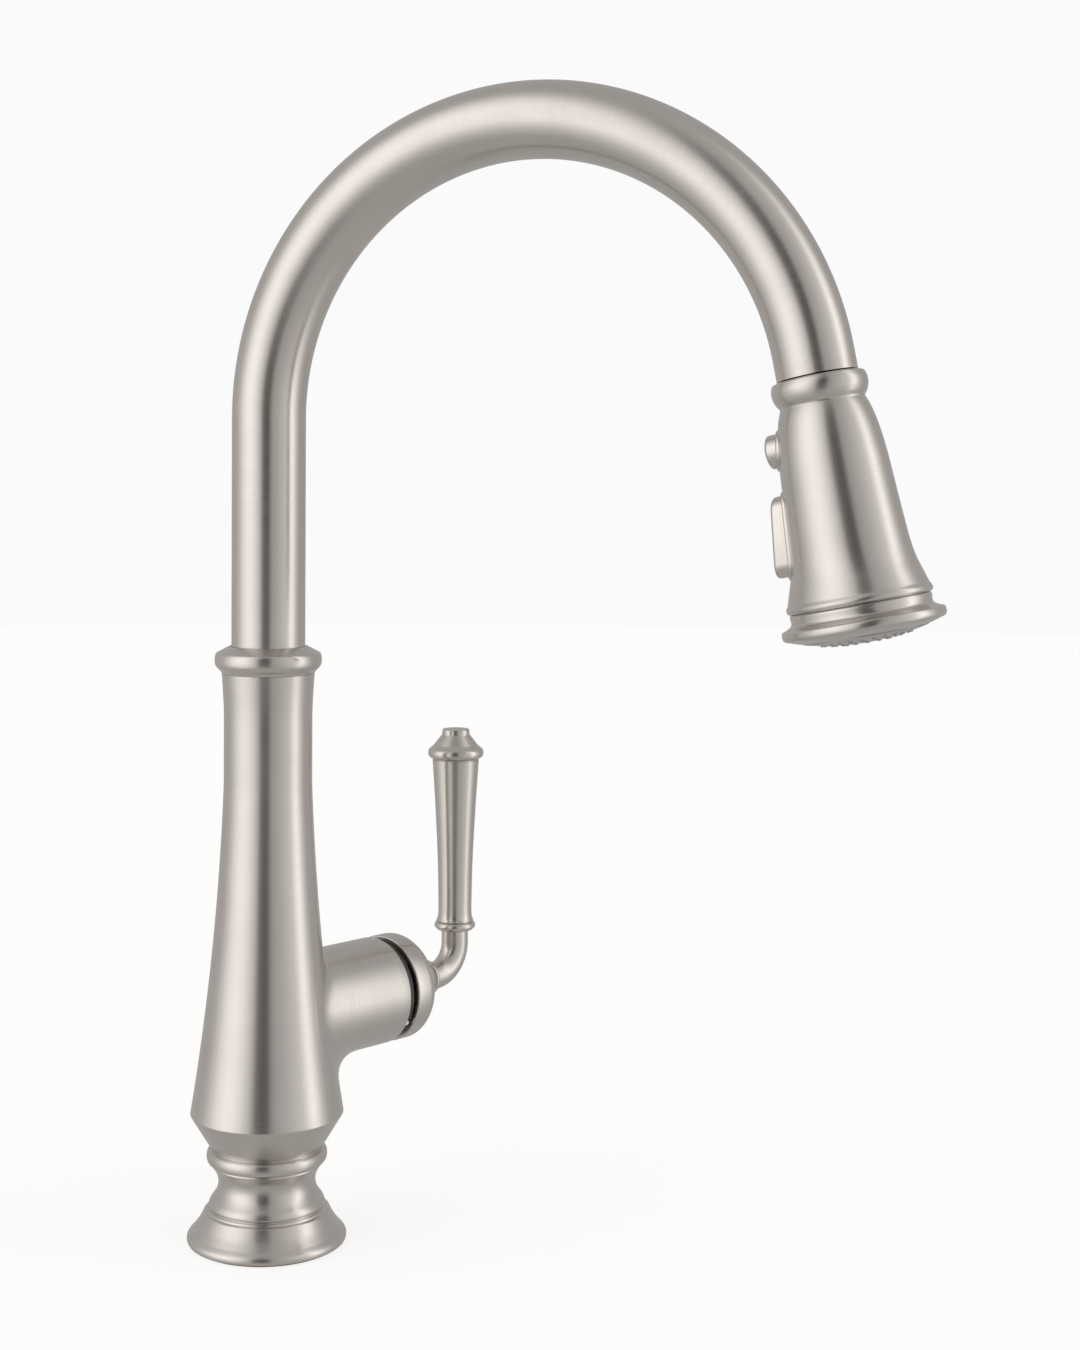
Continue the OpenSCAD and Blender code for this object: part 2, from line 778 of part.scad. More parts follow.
module hose_plug() {
    color("dimgray") in_head() rotate_extrude() polygon([
        [hose_r + loose_gap, -ferrule_from], [hose_r + loose_gap, plug_top], [plug_r - 1.4, plug_top],
        [plug_r, plug_top - 2], [plug_r, -ring_len + 1],
        [ferrule_out_r, -ring_len + 1], [ferrule_out_r, -ferrule_from]
    ]);
}

module hose_ferrule() {
    color(steel) in_head() rod(ferrule_out_r, -core_from, -ferrule_from);
}

module spray_ring() {
    color(nickel) in_head() rotate_extrude() polygon(concat(
        [[plug_r, -spout_end_gap], [tube_r + 0.6, -spout_end_gap], [ring_bead_r - 0.7, -spout_end_gap - 1.2]],
        arc([ring_bead_r - 2.6, -4.4], 2.6, 38, -50),
        [[shell_r_top + 0.1, -ring_len + 1.4], [shell_r_top - 0.1, -ring_len], [plug_r, -ring_len]]
    ));
}

module spray_shell() {
    steps = 18;
    color(nickel) in_head() difference() {
        rotate_extrude() polygon(concat(
            [for (i = [0 : steps - 1]) let (s = shell_from + (shell_len - 2.2) * i / (steps - 1))
                [shell_r(s), -s]],
            arc([shell_r_low - 0.9, -shell_to + 1.3], 0.9, 60, -90),
            [[shell_r_low - 2.2, -shell_to + 0.4], [shell_r_low - 2.2, -shell_to]],
            [for (i = [0 : steps]) let (s = shell_to - (shell_len - 2) * i / steps)
                [max(core_r + 0.2, shell_r(s - 0.5) - shell_wall), -s]],
            [[core_r + 0.2, -shell_from]]
        ));
        cross_rod(pause_r + 1.2, pause_s, 5, 2 * rim_r);
        racetrack(rocker_len + 2.6, rocker_w + 2.6, rocker_s, 5, 2 * rim_r);
    }
}

module spray_core() {
    color("dimgray") in_head() difference() {
        rod(core_r, -core_to, -core_from);
        rod(core_way_r, -core_to - 1, -core_from + 1);
        rod(valve_r + 0.1, -core_from - valve_len, -core_from + 1);
        cross_rod(pause_stem_r + run_gap, pause_s, core_way_r - 1, core_r + 1);
        cross_rod(pause_r + loose_gap, pause_s, core_r - 2.2, core_r + 1);
        translate([0, spool_y, -rocker_s]) rod(spool_r + run_gap, -spool_pocket / 2, spool_pocket / 2);
        racetrack(rocker_len + 1, rocker_w + 1, rocker_s, spool_y + spool_r + 0.6, core_r + 1);
    }
}

module check_valve() {
    color("royalblue") in_head() difference() {
        rod(valve_r, -core_from - valve_len + 0.5, -core_from);
        rod(valve_r - 2.2, -core_from - valve_len, -core_from - 3);
    }
}

module diverter_spool() {
    color(white) in_head() translate([0, spool_y, 0]) difference() {
        rod(spool_r, -rocker_s - spool_len / 2, -rocker_s + spool_len / 2);
        sleeve(spool_r + 1, spool_r - 0.8, -rocker_s - 3, -rocker_s + 3);
    }
}

module pause_bezel() {
    color(nickel) in_head() difference() {
        cross_rod(pause_r + 1.2, pause_s, core_r + 0.3, shell_r(pause_s) + 0.9);
        cross_rod(pause_r + loose_gap, pause_s, core_r - 1, 2 * rim_r);
    }
}

module pause_button() {
    face = shell_r(pause_s) + 4.4;
    color(nickel) in_head() {
        translate([0, 0, -pause_s]) rotate([-90, 0, 0]) rotate_extrude() polygon(concat(
            [[0, core_r + pause_travel + 0.5], [pause_r, core_r + pause_travel + 0.5], [pause_r, face - 1.6]],
            ease([pause_r - 0.4, face - 0.9], [0, face], 0.45, 6)
        ));
        cross_rod(pause_stem_r, pause_s, core_way_r + pause_travel + 0.4, core_r + pause_travel + 1);
    }
}

module pause_spring() {
    color(steel) in_head() translate([0, 0, -pause_s]) rotate([-90, 0, 0])
        sleeve(pause_stem_r + 1.4, pause_stem_r + 0.5, core_r - 2.1, core_r + pause_travel + 0.4);
}

module rocker_bezel() {
    color(nickel) in_head() difference() {
        intersection() {
            racetrack(rocker_len + 2.6, rocker_w + 2.6, rocker_s, core_r + 0.3, 2 * rim_r);
            rotate_extrude() polygon(concat(
                [[0, -rocker_s - rocker_len]],
                [for (i = [0 : 8]) let (s = rocker_s + rocker_len * (0.7 - 1.4 * i / 8))
                    [shell_r(s) + 0.9, -s]],
                [[0, -rocker_s + rocker_len]]
            ));
        }
        racetrack(rocker_len + 2 * rocker_slack, rocker_w + 2 * loose_gap, rocker_s, core_r - 1, 2 * rim_r);
        rocker_pivot_rod(rocker_pin_r, rocker_w / 2 + 1.1);
    }
}

// The rocker's pivot line, across the head
module rocker_pivot_rod(r, half) {
    translate([0, rocker_pivot, -rocker_s]) rotate([0, 90, 0]) cylinder(r = r, h = 2 * half, center = true);
}

module mode_rocker() {
    low = core_r + 2.2;
    high = shell_r(rocker_s) + 5.2;
    color(nickel) in_head() difference() {
        intersection() {
            racetrack(rocker_len, rocker_w, rocker_s, low, high + 3);
            translate([0, high, -rocker_s]) rotate([rocker_tilt + 5, 0, 0])
                translate([-rocker_w, -4 * core_r, -rocker_len])
                    cube([2 * rocker_w, 4 * core_r, 2 * rocker_len]);
        }
        rocker_pivot_rod(rocker_pin_r + run_gap, rocker_w);
    }
}

module rocker_pin() {
    color(steel) in_head() rocker_pivot_rod(rocker_pin_r, rocker_w / 2 + 1);
}

module spray_rim() {
    lip = shell_r_low;
    color(nickel) in_head() rotate_extrude() polygon(concat(
        [[rim_inner_r - 4, -shell_to], [lip - 2.3, -shell_to], [lip - 0.7, -shell_to - 0.3]],
        [[lip - 0.8, -shell_to - 2.4], [lip + 0.6, -shell_to - 4.2], [rim_r - 0.5, -shell_to - 5.2]],
        [[rim_r, -shell_to - 5.9], [rim_r, -shell_to - 7.6]],
        [[rim_r - 0.6, -shell_to - 8.4], [rim_inner_r, -rim_to], [rim_inner_r, -plate_from + 0.1]],
        [[rim_inner_r - 4, -plate_from + 0.1]]
    ));
}

// Height of the face plate's outer surface at radius r, as a distance below the spout's end
function face_s(r) = face_to - face_drop * pow(r / rim_inner_r, 2);

module face_plate() {
    plate_r = rim_inner_r - 0.2;
    color([0.55, 0.54, 0.53]) in_head() difference() {
        rotate_extrude() polygon(concat(
            [[aerator_r, -face_s(aerator_r)]],
            [for (i = [1 : 6]) let (r = aerator_r + (plate_r - 1 - aerator_r) * i / 6) [r, -face_s(r)]],
            [[plate_r, -face_s(plate_r)], [plate_r, -plate_from], [mat_r + 0.1, -plate_from]],
            [[mat_r + 0.1, -mat_to], [aerator_r, -mat_to]]
        ));
        for (ring = nozzle_rings)
            each_nozzle(ring) rod(nozzle_r, -face_to - 1, -mat_to + mat_t);
    }
}

// Places its children at every nozzle of a ring, given as its radius and its number of nozzles
module each_nozzle(ring) {
    for (i = [0 : ring[1] - 1])
        rotate([0, 0, 360 * (i + 0.5) / ring[1]]) translate([ring[0], 0, 0]) children();
}

module nozzle_mat() {
    color([0.35, 0.35, 0.36]) in_head() {
        sleeve(mat_r, aerator_r, -mat_to, -mat_to + mat_t);
        for (ring = nozzle_rings)
            each_nozzle(ring) rod(nozzle_r, -face_s(ring[0]) - nozzle_proud, -mat_to + mat_t / 2);
    }
}

module aerator() {
    color(steel) in_head() difference() {
        rod(aerator_r, -face_to + 0.6, -shell_to - 6);
        rod(aerator_r - 1.2, -face_to, -shell_to - 9);
    }
}

foot();
deck_gasket();
column_shell();
swivel_collar();
thrust_washer();
spout_tube();
spout_shank();
upper_bush();
lower_bush();
friction_ring();
dock_insert();
spray_hose();
lower_hose();
valve_manifold();
cartridge_body();
port_seals();
fixed_disc();
moving_disc();
cartridge_rotor();
rotor_pin();
cartridge_stem();
cartridge_nut();
bonnet_ring();
bonnet_screw();
handle_cap();
cap_screw();
lever_ring();
lever_stem();
grip_ferrule();
lever_grip();
finial();
hose_plug();
hose_ferrule();
spray_ring();
spray_shell();
spray_core();
check_valve();
diverter_spool();
rocker_bezel();
mode_rocker();
rocker_pin();
pause_bezel();
pause_button();
pause_spring();
spray_rim();
face_plate();
nozzle_mat();
aerator();
shank();
deck_washer();
clamp_washer();
mounting_nut();
jack_screws();
hot_inlet();
cold_inlet();
outlet_tube();
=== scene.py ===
"""Pull-down kitchen faucet: the visible shells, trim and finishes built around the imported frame."""

import json
import math

import bmesh
import bpy
from bpy.props import FloatProperty, FloatVectorProperty, IntProperty, PointerProperty
from mathutils import Matrix, Vector
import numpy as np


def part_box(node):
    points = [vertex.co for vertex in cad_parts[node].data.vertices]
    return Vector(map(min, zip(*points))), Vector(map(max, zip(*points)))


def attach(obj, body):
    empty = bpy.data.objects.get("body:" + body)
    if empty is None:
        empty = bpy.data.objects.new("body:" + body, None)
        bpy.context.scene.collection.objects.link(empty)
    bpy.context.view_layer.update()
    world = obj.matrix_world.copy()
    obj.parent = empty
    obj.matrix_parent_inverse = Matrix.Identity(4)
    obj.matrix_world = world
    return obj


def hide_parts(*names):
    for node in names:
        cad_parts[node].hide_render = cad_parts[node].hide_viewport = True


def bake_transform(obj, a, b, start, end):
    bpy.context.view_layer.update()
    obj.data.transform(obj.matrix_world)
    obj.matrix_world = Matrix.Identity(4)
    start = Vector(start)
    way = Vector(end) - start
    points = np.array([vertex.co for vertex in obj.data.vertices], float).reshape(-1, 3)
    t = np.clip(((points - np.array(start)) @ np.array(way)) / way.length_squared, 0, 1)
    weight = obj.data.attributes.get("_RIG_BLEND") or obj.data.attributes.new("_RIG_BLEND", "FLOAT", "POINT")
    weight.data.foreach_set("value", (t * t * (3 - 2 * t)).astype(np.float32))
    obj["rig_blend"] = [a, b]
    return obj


bl_info = {
    "name": "Pull-down kitchen faucet",
    "version": (1, 0, 0),
    "blender": (4, 5, 0),
    "location": "View3D > Sidebar > Faucet",
    "description": "Builds the visible pieces of a pull-down kitchen faucet around its mechanical frame",
    "category": "Add Mesh",
}

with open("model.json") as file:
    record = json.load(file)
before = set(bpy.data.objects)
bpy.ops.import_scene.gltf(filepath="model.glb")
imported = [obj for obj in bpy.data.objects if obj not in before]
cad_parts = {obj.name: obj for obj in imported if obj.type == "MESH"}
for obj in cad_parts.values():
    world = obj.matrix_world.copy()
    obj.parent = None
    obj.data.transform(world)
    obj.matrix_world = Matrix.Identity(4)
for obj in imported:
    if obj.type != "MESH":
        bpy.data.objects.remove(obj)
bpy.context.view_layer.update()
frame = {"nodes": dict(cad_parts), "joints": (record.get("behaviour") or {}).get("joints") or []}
JOINTS = {joint["name"]: joint for joint in frame["joints"]}
MM = 0.001
TAU = 2 * math.pi


# ---- Places, read from the frame; millimetres inside each place, metres outside ----

def low(node):
    """Lowest corner of a node's box, in millimetres."""
    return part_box(node)[0] / MM


def high(node):
    """Highest corner of a node's box, in millimetres."""
    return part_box(node)[1] / MM


def half_width(node):
    """Half of a node's width across X, in millimetres."""
    return (high(node).x - low(node).x) / 2


def place(origin, along, side):
    """Matrix of a place: Z along one direction, Y to a side, its origin a point in millimetres."""
    z = Vector(along).normalized()
    x = Vector(side).cross(z).normalized()
    turn = Matrix((x, z.cross(x), z)).transposed().to_4x4()
    return Matrix.Translation(Vector(origin) * MM) @ turn @ Matrix.Scale(MM, 4)


UP = Vector((0, 0, 1))
DECK = Matrix.Scale(MM, 4)

TUBE_R = half_width("spout_tube")
TUBE_WALL = 1.2
TUBE_LOW = low("spout_tube").z
ARCH_DEG = 168.5
END_STRAIGHT = 7.0
ROCKER_S = 50.0
ROCKER_PIVOT_Y = 18.4
HEAD_DOWN = Vector(JOINTS["spray_pull"]["axis"])
HEAD_SIDE = Vector((0, -HEAD_DOWN.z, HEAD_DOWN.y))
HEAD_AT = Vector(JOINTS["mode_rock"]["pos_m"]) / MM - HEAD_SIDE * ROCKER_PIVOT_Y - HEAD_DOWN * ROCKER_S
HEAD = place(HEAD_AT, -HEAD_DOWN, HEAD_SIDE)
ARCH_TOP = high("spout_tube").z
ARCH_END_Y = HEAD_AT.y + END_STRAIGHT * math.sin(math.radians(180 - ARCH_DEG))
ARCH_R = -ARCH_END_Y / (1 - math.cos(math.radians(ARCH_DEG)))
LEG_TOP = ARCH_TOP - ARCH_R - TUBE_R

HANDLE_OUT = Vector(JOINTS["handle_turn"]["axis"])
HUB_Z = JOINTS["handle_turn"]["pos_m"][2] / MM
HUB_SIDE = UP.cross(HANDLE_OUT)
VALVE = place((0, 0, HUB_Z), HANDLE_OUT, HUB_SIDE)
GRIP_BOTTOM = low("lever_grip").z
GRIP_TOP = high("lever_grip").z
GRIP_AT = (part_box("lever_grip")[0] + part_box("lever_grip")[1]) / 2 / MM
LEVER_L = GRIP_AT.dot(HANDLE_OUT)
GRIP = place((GRIP_AT.x, GRIP_AT.y, 0), UP, HUB_SIDE)


# ---- Settings ----

class FaucetFinish(bpy.types.PropertyGroup):
    """Colours and surface finish."""
    nickel: FloatVectorProperty(
        name="Nickel", description="Colour of the brushed nickel", subtype="COLOR", size=3,
        min=0, max=1, default=(0.66, 0.63, 0.60))
    nickel_roughness: FloatProperty(
        name="Nickel roughness", description="How much the brushing blurs reflections",
        subtype="FACTOR", min=0, max=1, default=0.24)
    brush_depth: FloatProperty(
        name="Brush depth", description="Strength of the fine brush lines", subtype="FACTOR",
        min=0, max=1, default=0.12)
    brass: FloatVectorProperty(
        name="Brass", description="Colour of the machined brass", subtype="COLOR", size=3,
        min=0, max=1, default=(0.78, 0.60, 0.33))
    face_grey: FloatVectorProperty(
        name="Spray face", description="Colour of the spray face", subtype="COLOR", size=3,
        min=0, max=1, default=(0.36, 0.34, 0.33))


class FaucetShape(bpy.types.PropertyGroup):
    """Sizes of the details that the frame leaves plain."""
    sides: IntProperty(
        name="Sides", description="Segments around each turned piece", min=24, max=256, default=128)
    edge: FloatProperty(
        name="Edge rounding", description="Radius of the small edges, in millimetres",
        min=0.05, max=1, default=0.35)
    fillet_top: FloatProperty(
        name="Boss fillet, top", description="Reach of the fillet above the side boss, in millimetres",
        min=1, max=20, default=3.6)
    fillet_low: FloatProperty(
        name="Boss fillet, below", description="Reach of the fillet under the side boss, in millimetres",
        min=1, max=20, default=13.5)
    fillet_side: FloatProperty(
        name="Boss fillet, sides", description="Reach of the fillet beside the boss, in millimetres",
        min=1, max=20, default=12)
    thread_pitch: FloatProperty(
        name="Thread pitch", description="Pitch of the shank's thread, in millimetres",
        min=0.5, max=4, default=1.5)


class FaucetStudio(bpy.types.PropertyGroup):
    """Light and backdrop."""
    backdrop: FloatProperty(
        name="Backdrop", description="Brightness of the backdrop", min=0, max=2, default=0.956)
    light: FloatProperty(
        name="Light", description="Strength of the studio light", min=0, max=5, default=1.0)
    lens: FloatProperty(
        name="Lens", description="Focal length of the camera", subtype="DISTANCE_CAMERA",
        min=20, max=200, default=57.88)


# ---- Outlines: lists of (radius, height) points ----

def arc(centre, radius, start, stop, count=8):
    """Points of an arc about a centre, from one angle to another in degrees."""
    angles = [math.radians(start + (stop - start) * i / count) for i in range(count + 1)]
    return [(centre[0] + radius * math.cos(a), centre[1] + radius * math.sin(a)) for a in angles]


def flow(points, count=6):
    """A smooth curve through a few points."""
    ends = [points[0], *points, points[-1]]
    line = []
    for a, b, c, d in zip(ends, ends[1:], ends[2:], ends[3:]):
        for i in range(count):
            t = i / count
            line.append(tuple(
                0.5 * (2 * q + (r - p) * t + (2 * p - 5 * q + 4 * r - s) * t * t + (3 * q - p - 3 * r + s) * t ** 3)
                for p, q, r, s in zip(a, b, c, d)))
    return [*line, points[-1]]


def rounded(points, radius, count=4):
    """An open outline whose inner corners are rounded; a third value on a point is its own radius."""
    line = [tuple(points[0][:2])]
    for before, corner, after in zip(points, points[1:], points[2:]):
        size = corner[2] if len(corner) > 2 else radius
        middle = Vector(corner[:2])
        back, on = Vector(before[:2]) - middle, Vector(after[:2]) - middle
        half = back.angle(on) / 2
        reach = min(size / math.tan(half), 0.48 * back.length, 0.48 * on.length) if half < 1.55 else 0
        if reach < 0.01:
            line.append(tuple(middle))
            continue
        start, stop = middle + back.normalized() * reach, middle + on.normalized() * reach
        for i in range(count + 1):
            t = i / count
            point = start * (1 - t) ** 2 + middle * 2 * t * (1 - t) + stop * t * t
            line.append(tuple(point))
    return [*line, tuple(points[-1][:2])]


def column_radius(z):
    """Outer radius of the column's waist and flare."""
    if z > COLUMN_TOP - TOP_FLARE:
        return WAIST_R + 0.8 * ((z - COLUMN_TOP + TOP_FLARE) / TOP_FLARE) ** 1.3
    if z > FLARE_TOP:
        return WAIST_R
    t = (FLARE_TOP - z) / (FLARE_TOP - CREASE_Z)
    return WAIST_R + (CREASE_R - WAIST_R) * (0.35 * t + 0.65 * t * t)


# ---- Meshes ----

def start_mesh():
    """An empty bmesh with the layers that carry the pattern's place on the surface."""
    bm = bmesh.new()
    bm.verts.layers.float.new("along")
    bm.verts.layers.int.new("station")
    bm.loops.layers.uv.new("surface")
    return bm


def add_outline(bm, outline, closed):
    """Adds an outline in the XZ plane and returns its vertices and edges."""
    along, station = bm.verts.layers.float["along"], bm.verts.layers.int["station"]
    verts, walked = [], 0
    for index, (r, z) in enumerate(outline):
        vert = bm.verts.new((r, 0, z))
        walked += (vert.co - verts[-1].co).length if verts else 0
        vert[along], vert[station] = walked, index
        verts.append(vert)
    pairs = list(zip(verts, verts[1:])) + ([(verts[-1], verts[0])] if closed else [])
    return verts, [bm.edges.new(pair) for pair in pairs]


def spin_outline(bm, outline, sides, closed=None):
    """Turns an outline about Z. An outline that starts and ends on the axis makes a solid of its own."""
    if closed is None:
        closed = outline[0][0] > 0.001 or outline[-1][0] > 0.001
    verts, edges = add_outline(bm, outline, closed)
    bmesh.ops.spin(bm, geom=verts + edges, cent=(0, 0, 0), axis=(0, 0, 1), dvec=(0, 0, 0), angle=TAU,
                   steps=sides, use_merge=True, use_normal_flip=False, use_duplicate=False)
    bmesh.ops.remove_doubles(bm, verts=bm.verts, dist=0.0005)
    bmesh.ops.recalc_face_normals(bm, faces=bm.faces)


# Width of the pattern laid over one radian of a turned piece, in millimetres
TURN_MM = 20


def map_turned(bm):
    """Lays the pattern round a turned piece: U goes round, V goes along the outline, in millimetres."""
    along, uv = bm.verts.layers.float["along"], bm.loops.layers.uv["surface"]
    for face in bm.faces:
        middle = face.calc_center_median()
        centre = math.atan2(middle.y, middle.x)
        for loop in face.loops:
            co = loop.vert.co
            turn = math.atan2(co.y, co.x) if co.xy.length > 0.001 else centre
            turn += TAU * round((centre - turn) / TAU)
            loop[uv].uv = (turn * TURN_MM, loop.vert[along])


def make_piece(bm, name, where, body, look, replaced=()):
    """Turns a bmesh into a piece of the object, in place, riding on a body."""
    bm.transform(where)
    for face in bm.faces:
        face.smooth = True
    mesh = bpy.data.meshes.new(name)
    bm.to_mesh(mesh)
    bm.free()
    mesh.set_sharp_from_angle(angle=math.radians(38))
    mesh.materials.append(look)
    piece = bpy.data.objects.new(name, mesh)
    bpy.context.scene.collection.objects.link(piece)
    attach(piece, body)
    if replaced:
        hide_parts(*replaced)
    return piece


def turned(name, outline, where, body, look, replaced=(), closed=None):
    """A piece turned on a lathe from its outline."""
    bm = start_mesh()
    spin_outline(bm, outline, shape().sides, closed)
    map_turned(bm)
    return make_piece(bm, name, where, body, look, replaced)


def finish():
    """The finishes set in the panel."""
    return bpy.context.scene.faucet_finish


def shape():
    """The shape settings of the panel."""
    return bpy.context.scene.faucet_shape


def studio():
    """The studio settings of the panel."""
    return bpy.context.scene.faucet_studio


# ---- Finishes ----

def new_look(name):
    """A material with its node tree, and the tree's main shader."""
    look = bpy.data.materials.get(name)
    if look:
        return look, None, None
    look = bpy.data.materials.new(name)
    look.use_nodes = True
    return look, look.node_tree, look.node_tree.nodes["Principled BSDF"]


def add(tree, kind, sockets=None, **settings):
    """Adds a node with its settings and socket values."""
    node = tree.nodes.new(kind)
    for key, value in settings.items():
        setattr(node, key, value)
    for key, value in (sockets or {}).items():
        node.inputs[key].default_value = value
    return node


def pattern_place(tree, scale, on_surface):
    """Coordinates of a pattern: the piece's own surface map, or its place in the object."""
    if on_surface:
        source = add(tree, "ShaderNodeUVMap", uv_map="surface").outputs["UV"]
    else:
        source = add(tree, "ShaderNodeTexCoord").outputs["Object"]
    mapping = add(tree, "ShaderNodeMapping", {"Scale": scale})
    tree.links.new(source, mapping.inputs["Vector"])
    return mapping.outputs["Vector"]


def noise(tree, vector, detail=2.0):
    """A noise pattern at unit scale over coordinates that are already scaled."""
    node = add(tree, "ShaderNodeTexNoise", {"Scale": 1.0, "Detail": detail, "Roughness": 0.6})
    tree.links.new(vector, node.inputs["Vector"])
    return node.outputs["Fac"]


def spread(tree, value, low_value, high_value, start=0.3, stop=0.7):
    """Maps a pattern's value onto a range."""
    node = add(tree, "ShaderNodeMapRange",
               {"From Min": start, "From Max": stop, "To Min": low_value, "To Max": high_value})
    tree.links.new(value, node.inputs["Value"])
    return node.outputs["Result"]


def tinted(tree, value, dark, light):
    """Blends two colours by a pattern's value."""
    node = add(tree, "ShaderNodeMix", data_type="RGBA")
    node.inputs["A"].default_value = (*dark, 1)
    node.inputs["B"].default_value = (*light, 1)
    tree.links.new(value, node.inputs["Factor"])
    return node.outputs["Result"]


def set_bump(tree, shader, height, strength, distance):
    """Adds relief to a shader from a pattern."""
    bump = add(tree, "ShaderNodeBump", {"Strength": strength, "Distance": distance})
    tree.links.new(height, bump.inputs["Height"])
    tree.links.new(bump.outputs["Normal"], shader.inputs["Normal"])


def shaded(colour, factor):
    """A colour made lighter or darker."""
    return tuple(min(1.0, c * factor) for c in colour)


def metal(name, colour, roughness, depth, on_surface, line_scale, stretch):
    """Brushed or turned metal: long fine lines, and a slow change of tone and gloss."""
    look, tree, shader = new_look(name)
    if tree is None:
        return look
    shader.inputs["Metallic"].default_value = 1.0
    shader.inputs["Anisotropic"].default_value = 0.35
    shader.inputs["Anisotropic Rotation"].default_value = 0.25
    fine = noise(tree, pattern_place(tree, stretch(line_scale), on_surface), 3)
    broad = noise(tree, pattern_place(tree, (35, 35, 35), False), 2)
    streak = noise(tree, pattern_place(tree, stretch(line_scale * 0.22), on_surface), 1)
    tree.links.new(tinted(tree, spread(tree, broad, 0, 1), shaded(colour, 0.965), shaded(colour, 1.02)),
                   shader.inputs["Base Color"])
    tree.links.new(spread(tree, streak, roughness - 0.025, roughness + 0.03), shader.inputs["Roughness"])
    if on_surface:
        tangent = add(tree, "ShaderNodeTangent", direction_type="UV_MAP", uv_map="surface")
        tree.links.new(tangent.outputs["Tangent"], shader.inputs["Tangent"])
    set_bump(tree, shader, fine, depth, 0.00002)
    return look


def along_surface(scale):
    """Stretches a pattern on the surface map into lines that go round the piece."""
    return (scale * 0.012, scale, 1)


def along_height(scale):
    """Stretches a pattern in the object into level lines."""
    return (scale * 40, scale * 40, scale * 1000)


def moulded(name, colour, roughness, grain=900, depth=0.15, **sockets):
    """Moulded plastic, rubber or fired ceramic: a fine grain and a slight change of tone."""
    look, tree, shader = new_look(name)
    if tree is None:
        return look
    for key, value in sockets.items():
        shader.inputs[key.replace("_", " ")].default_value = value
    fine = noise(tree, pattern_place(tree, (grain,) * 3, False), 3)
    broad = noise(tree, pattern_place(tree, (60, 60, 60), False), 2)
    tree.links.new(tinted(tree, spread(tree, broad, 0, 1), shaded(colour, 0.9), shaded(colour, 1.06)),
                   shader.inputs["Base Color"])
    tree.links.new(spread(tree, fine, roughness - 0.06, roughness + 0.06), shader.inputs["Roughness"])
    set_bump(tree, shader, fine, depth, 0.0001)
    return look


def nickel():
    """Brushed nickel of the casings."""
    return metal("brushed_nickel", finish().nickel, finish().nickel_roughness, finish().brush_depth,
                 True, 6, along_surface)


def bright_nickel():
    """Finer nickel of the spray head's buttons."""
    return metal("satin_nickel_buttons", shaded(finish().nickel, 1.04), finish().nickel_roughness - 0.04,
                 finish().brush_depth * 0.6, True, 6, along_surface)


def brass():
    """Machined brass of the valve and the shank."""
    return metal("machined_brass", finish().brass, 0.28, 0.25, False, 3, along_height)


def steel():
    """Bright steel of the pins, screws and spring."""
    return metal("bright_steel", (0.62, 0.62, 0.63), 0.25, 0.2, False, 3, along_height)


def copper():
    """Drawn copper of the inlet tubes."""
    return metal("drawn_copper", (0.76, 0.43, 0.30), 0.30, 0.15, False, 0.3, along_height)


def rubber():
    """Black rubber of the gaskets and seals."""
    return moulded("black_rubber", (0.035, 0.035, 0.036), 0.72)


def silicone():
    """Grey silicone of the spray nozzles."""
    return moulded("grey_silicone", (0.30, 0.30, 0.31), 0.55)


def face_plastic():
    """Plastic of the spray face."""
    return moulded("spray_face", finish().face_grey, 0.30, 1400, 0.1, Metallic=0.6)


def dark_plastic():
    """Dark acetal of the bonnet ring, the dock and the core."""
    return moulded("dark_acetal", (0.062, 0.056, 0.049), 0.42)


def white_plastic():
    """Natural acetal of the bushes and the cartridge."""
    return moulded("natural_acetal", (0.80, 0.80, 0.76), 0.42)


def grey_plastic():
    """Grey plastic of the cartridge rotor."""
    return moulded("grey_acetal", (0.26, 0.26, 0.28), 0.45)


def ceramic():
    """Fired ceramic of the valve discs."""
    return moulded("lapped_ceramic", (0.84, 0.83, 0.80), 0.16, 2500, 0.03)


def hose_braid():
    """Braided hose: two sets of strands that wind opposite ways round the hose's straight end."""
    look, tree, shader = new_look("hose_braid")
    if tree is None:
        return look
    source = add(tree, "ShaderNodeTexCoord").outputs["Object"]
    mapping = add(tree, "ShaderNodeMapping", vector_type="TEXTURE")
    mapping.inputs["Location"].default_value = HEAD_AT * MM
    mapping.inputs["Rotation"].default_value = HEAD.to_euler()
    tree.links.new(source, mapping.inputs["Vector"])
    split = add(tree, "ShaderNodeSeparateXYZ")
    tree.links.new(mapping.outputs["Vector"], split.inputs["Vector"])

    def maths(operation, a, b=None):
        """A maths node fed by numbers or by other sockets."""
        node = add(tree, "ShaderNodeMath", operation=operation)
        for socket, value in zip(node.inputs, (a, b)):
            if isinstance(value, (int, float)):
                socket.default_value = value
            elif value is not None:
                tree.links.new(value, socket)
        return node.outputs["Value"]

    turn = maths("MULTIPLY", maths("ARCTAN2", split.outputs["Y"], split.outputs["X"]), 12.0)
    rise = maths("MULTIPLY", split.outputs["Z"], 1500.0)
    right = maths("SINE", maths("ADD", turn, rise))
    left = maths("SINE", maths("SUBTRACT", turn, rise))
    weave = maths("MAXIMUM", right, left)
    tree.links.new(tinted(tree, spread(tree, weave, 0, 1, -0.2, 0.9), (0.03, 0.03, 0.032), (0.20, 0.20, 0.21)),
                   shader.inputs["Base Color"])
    shader.inputs["Roughness"].default_value = 0.5
    set_bump(tree, shader, weave, 0.7, 0.0004)
    return look


# ---- Foot and column ----

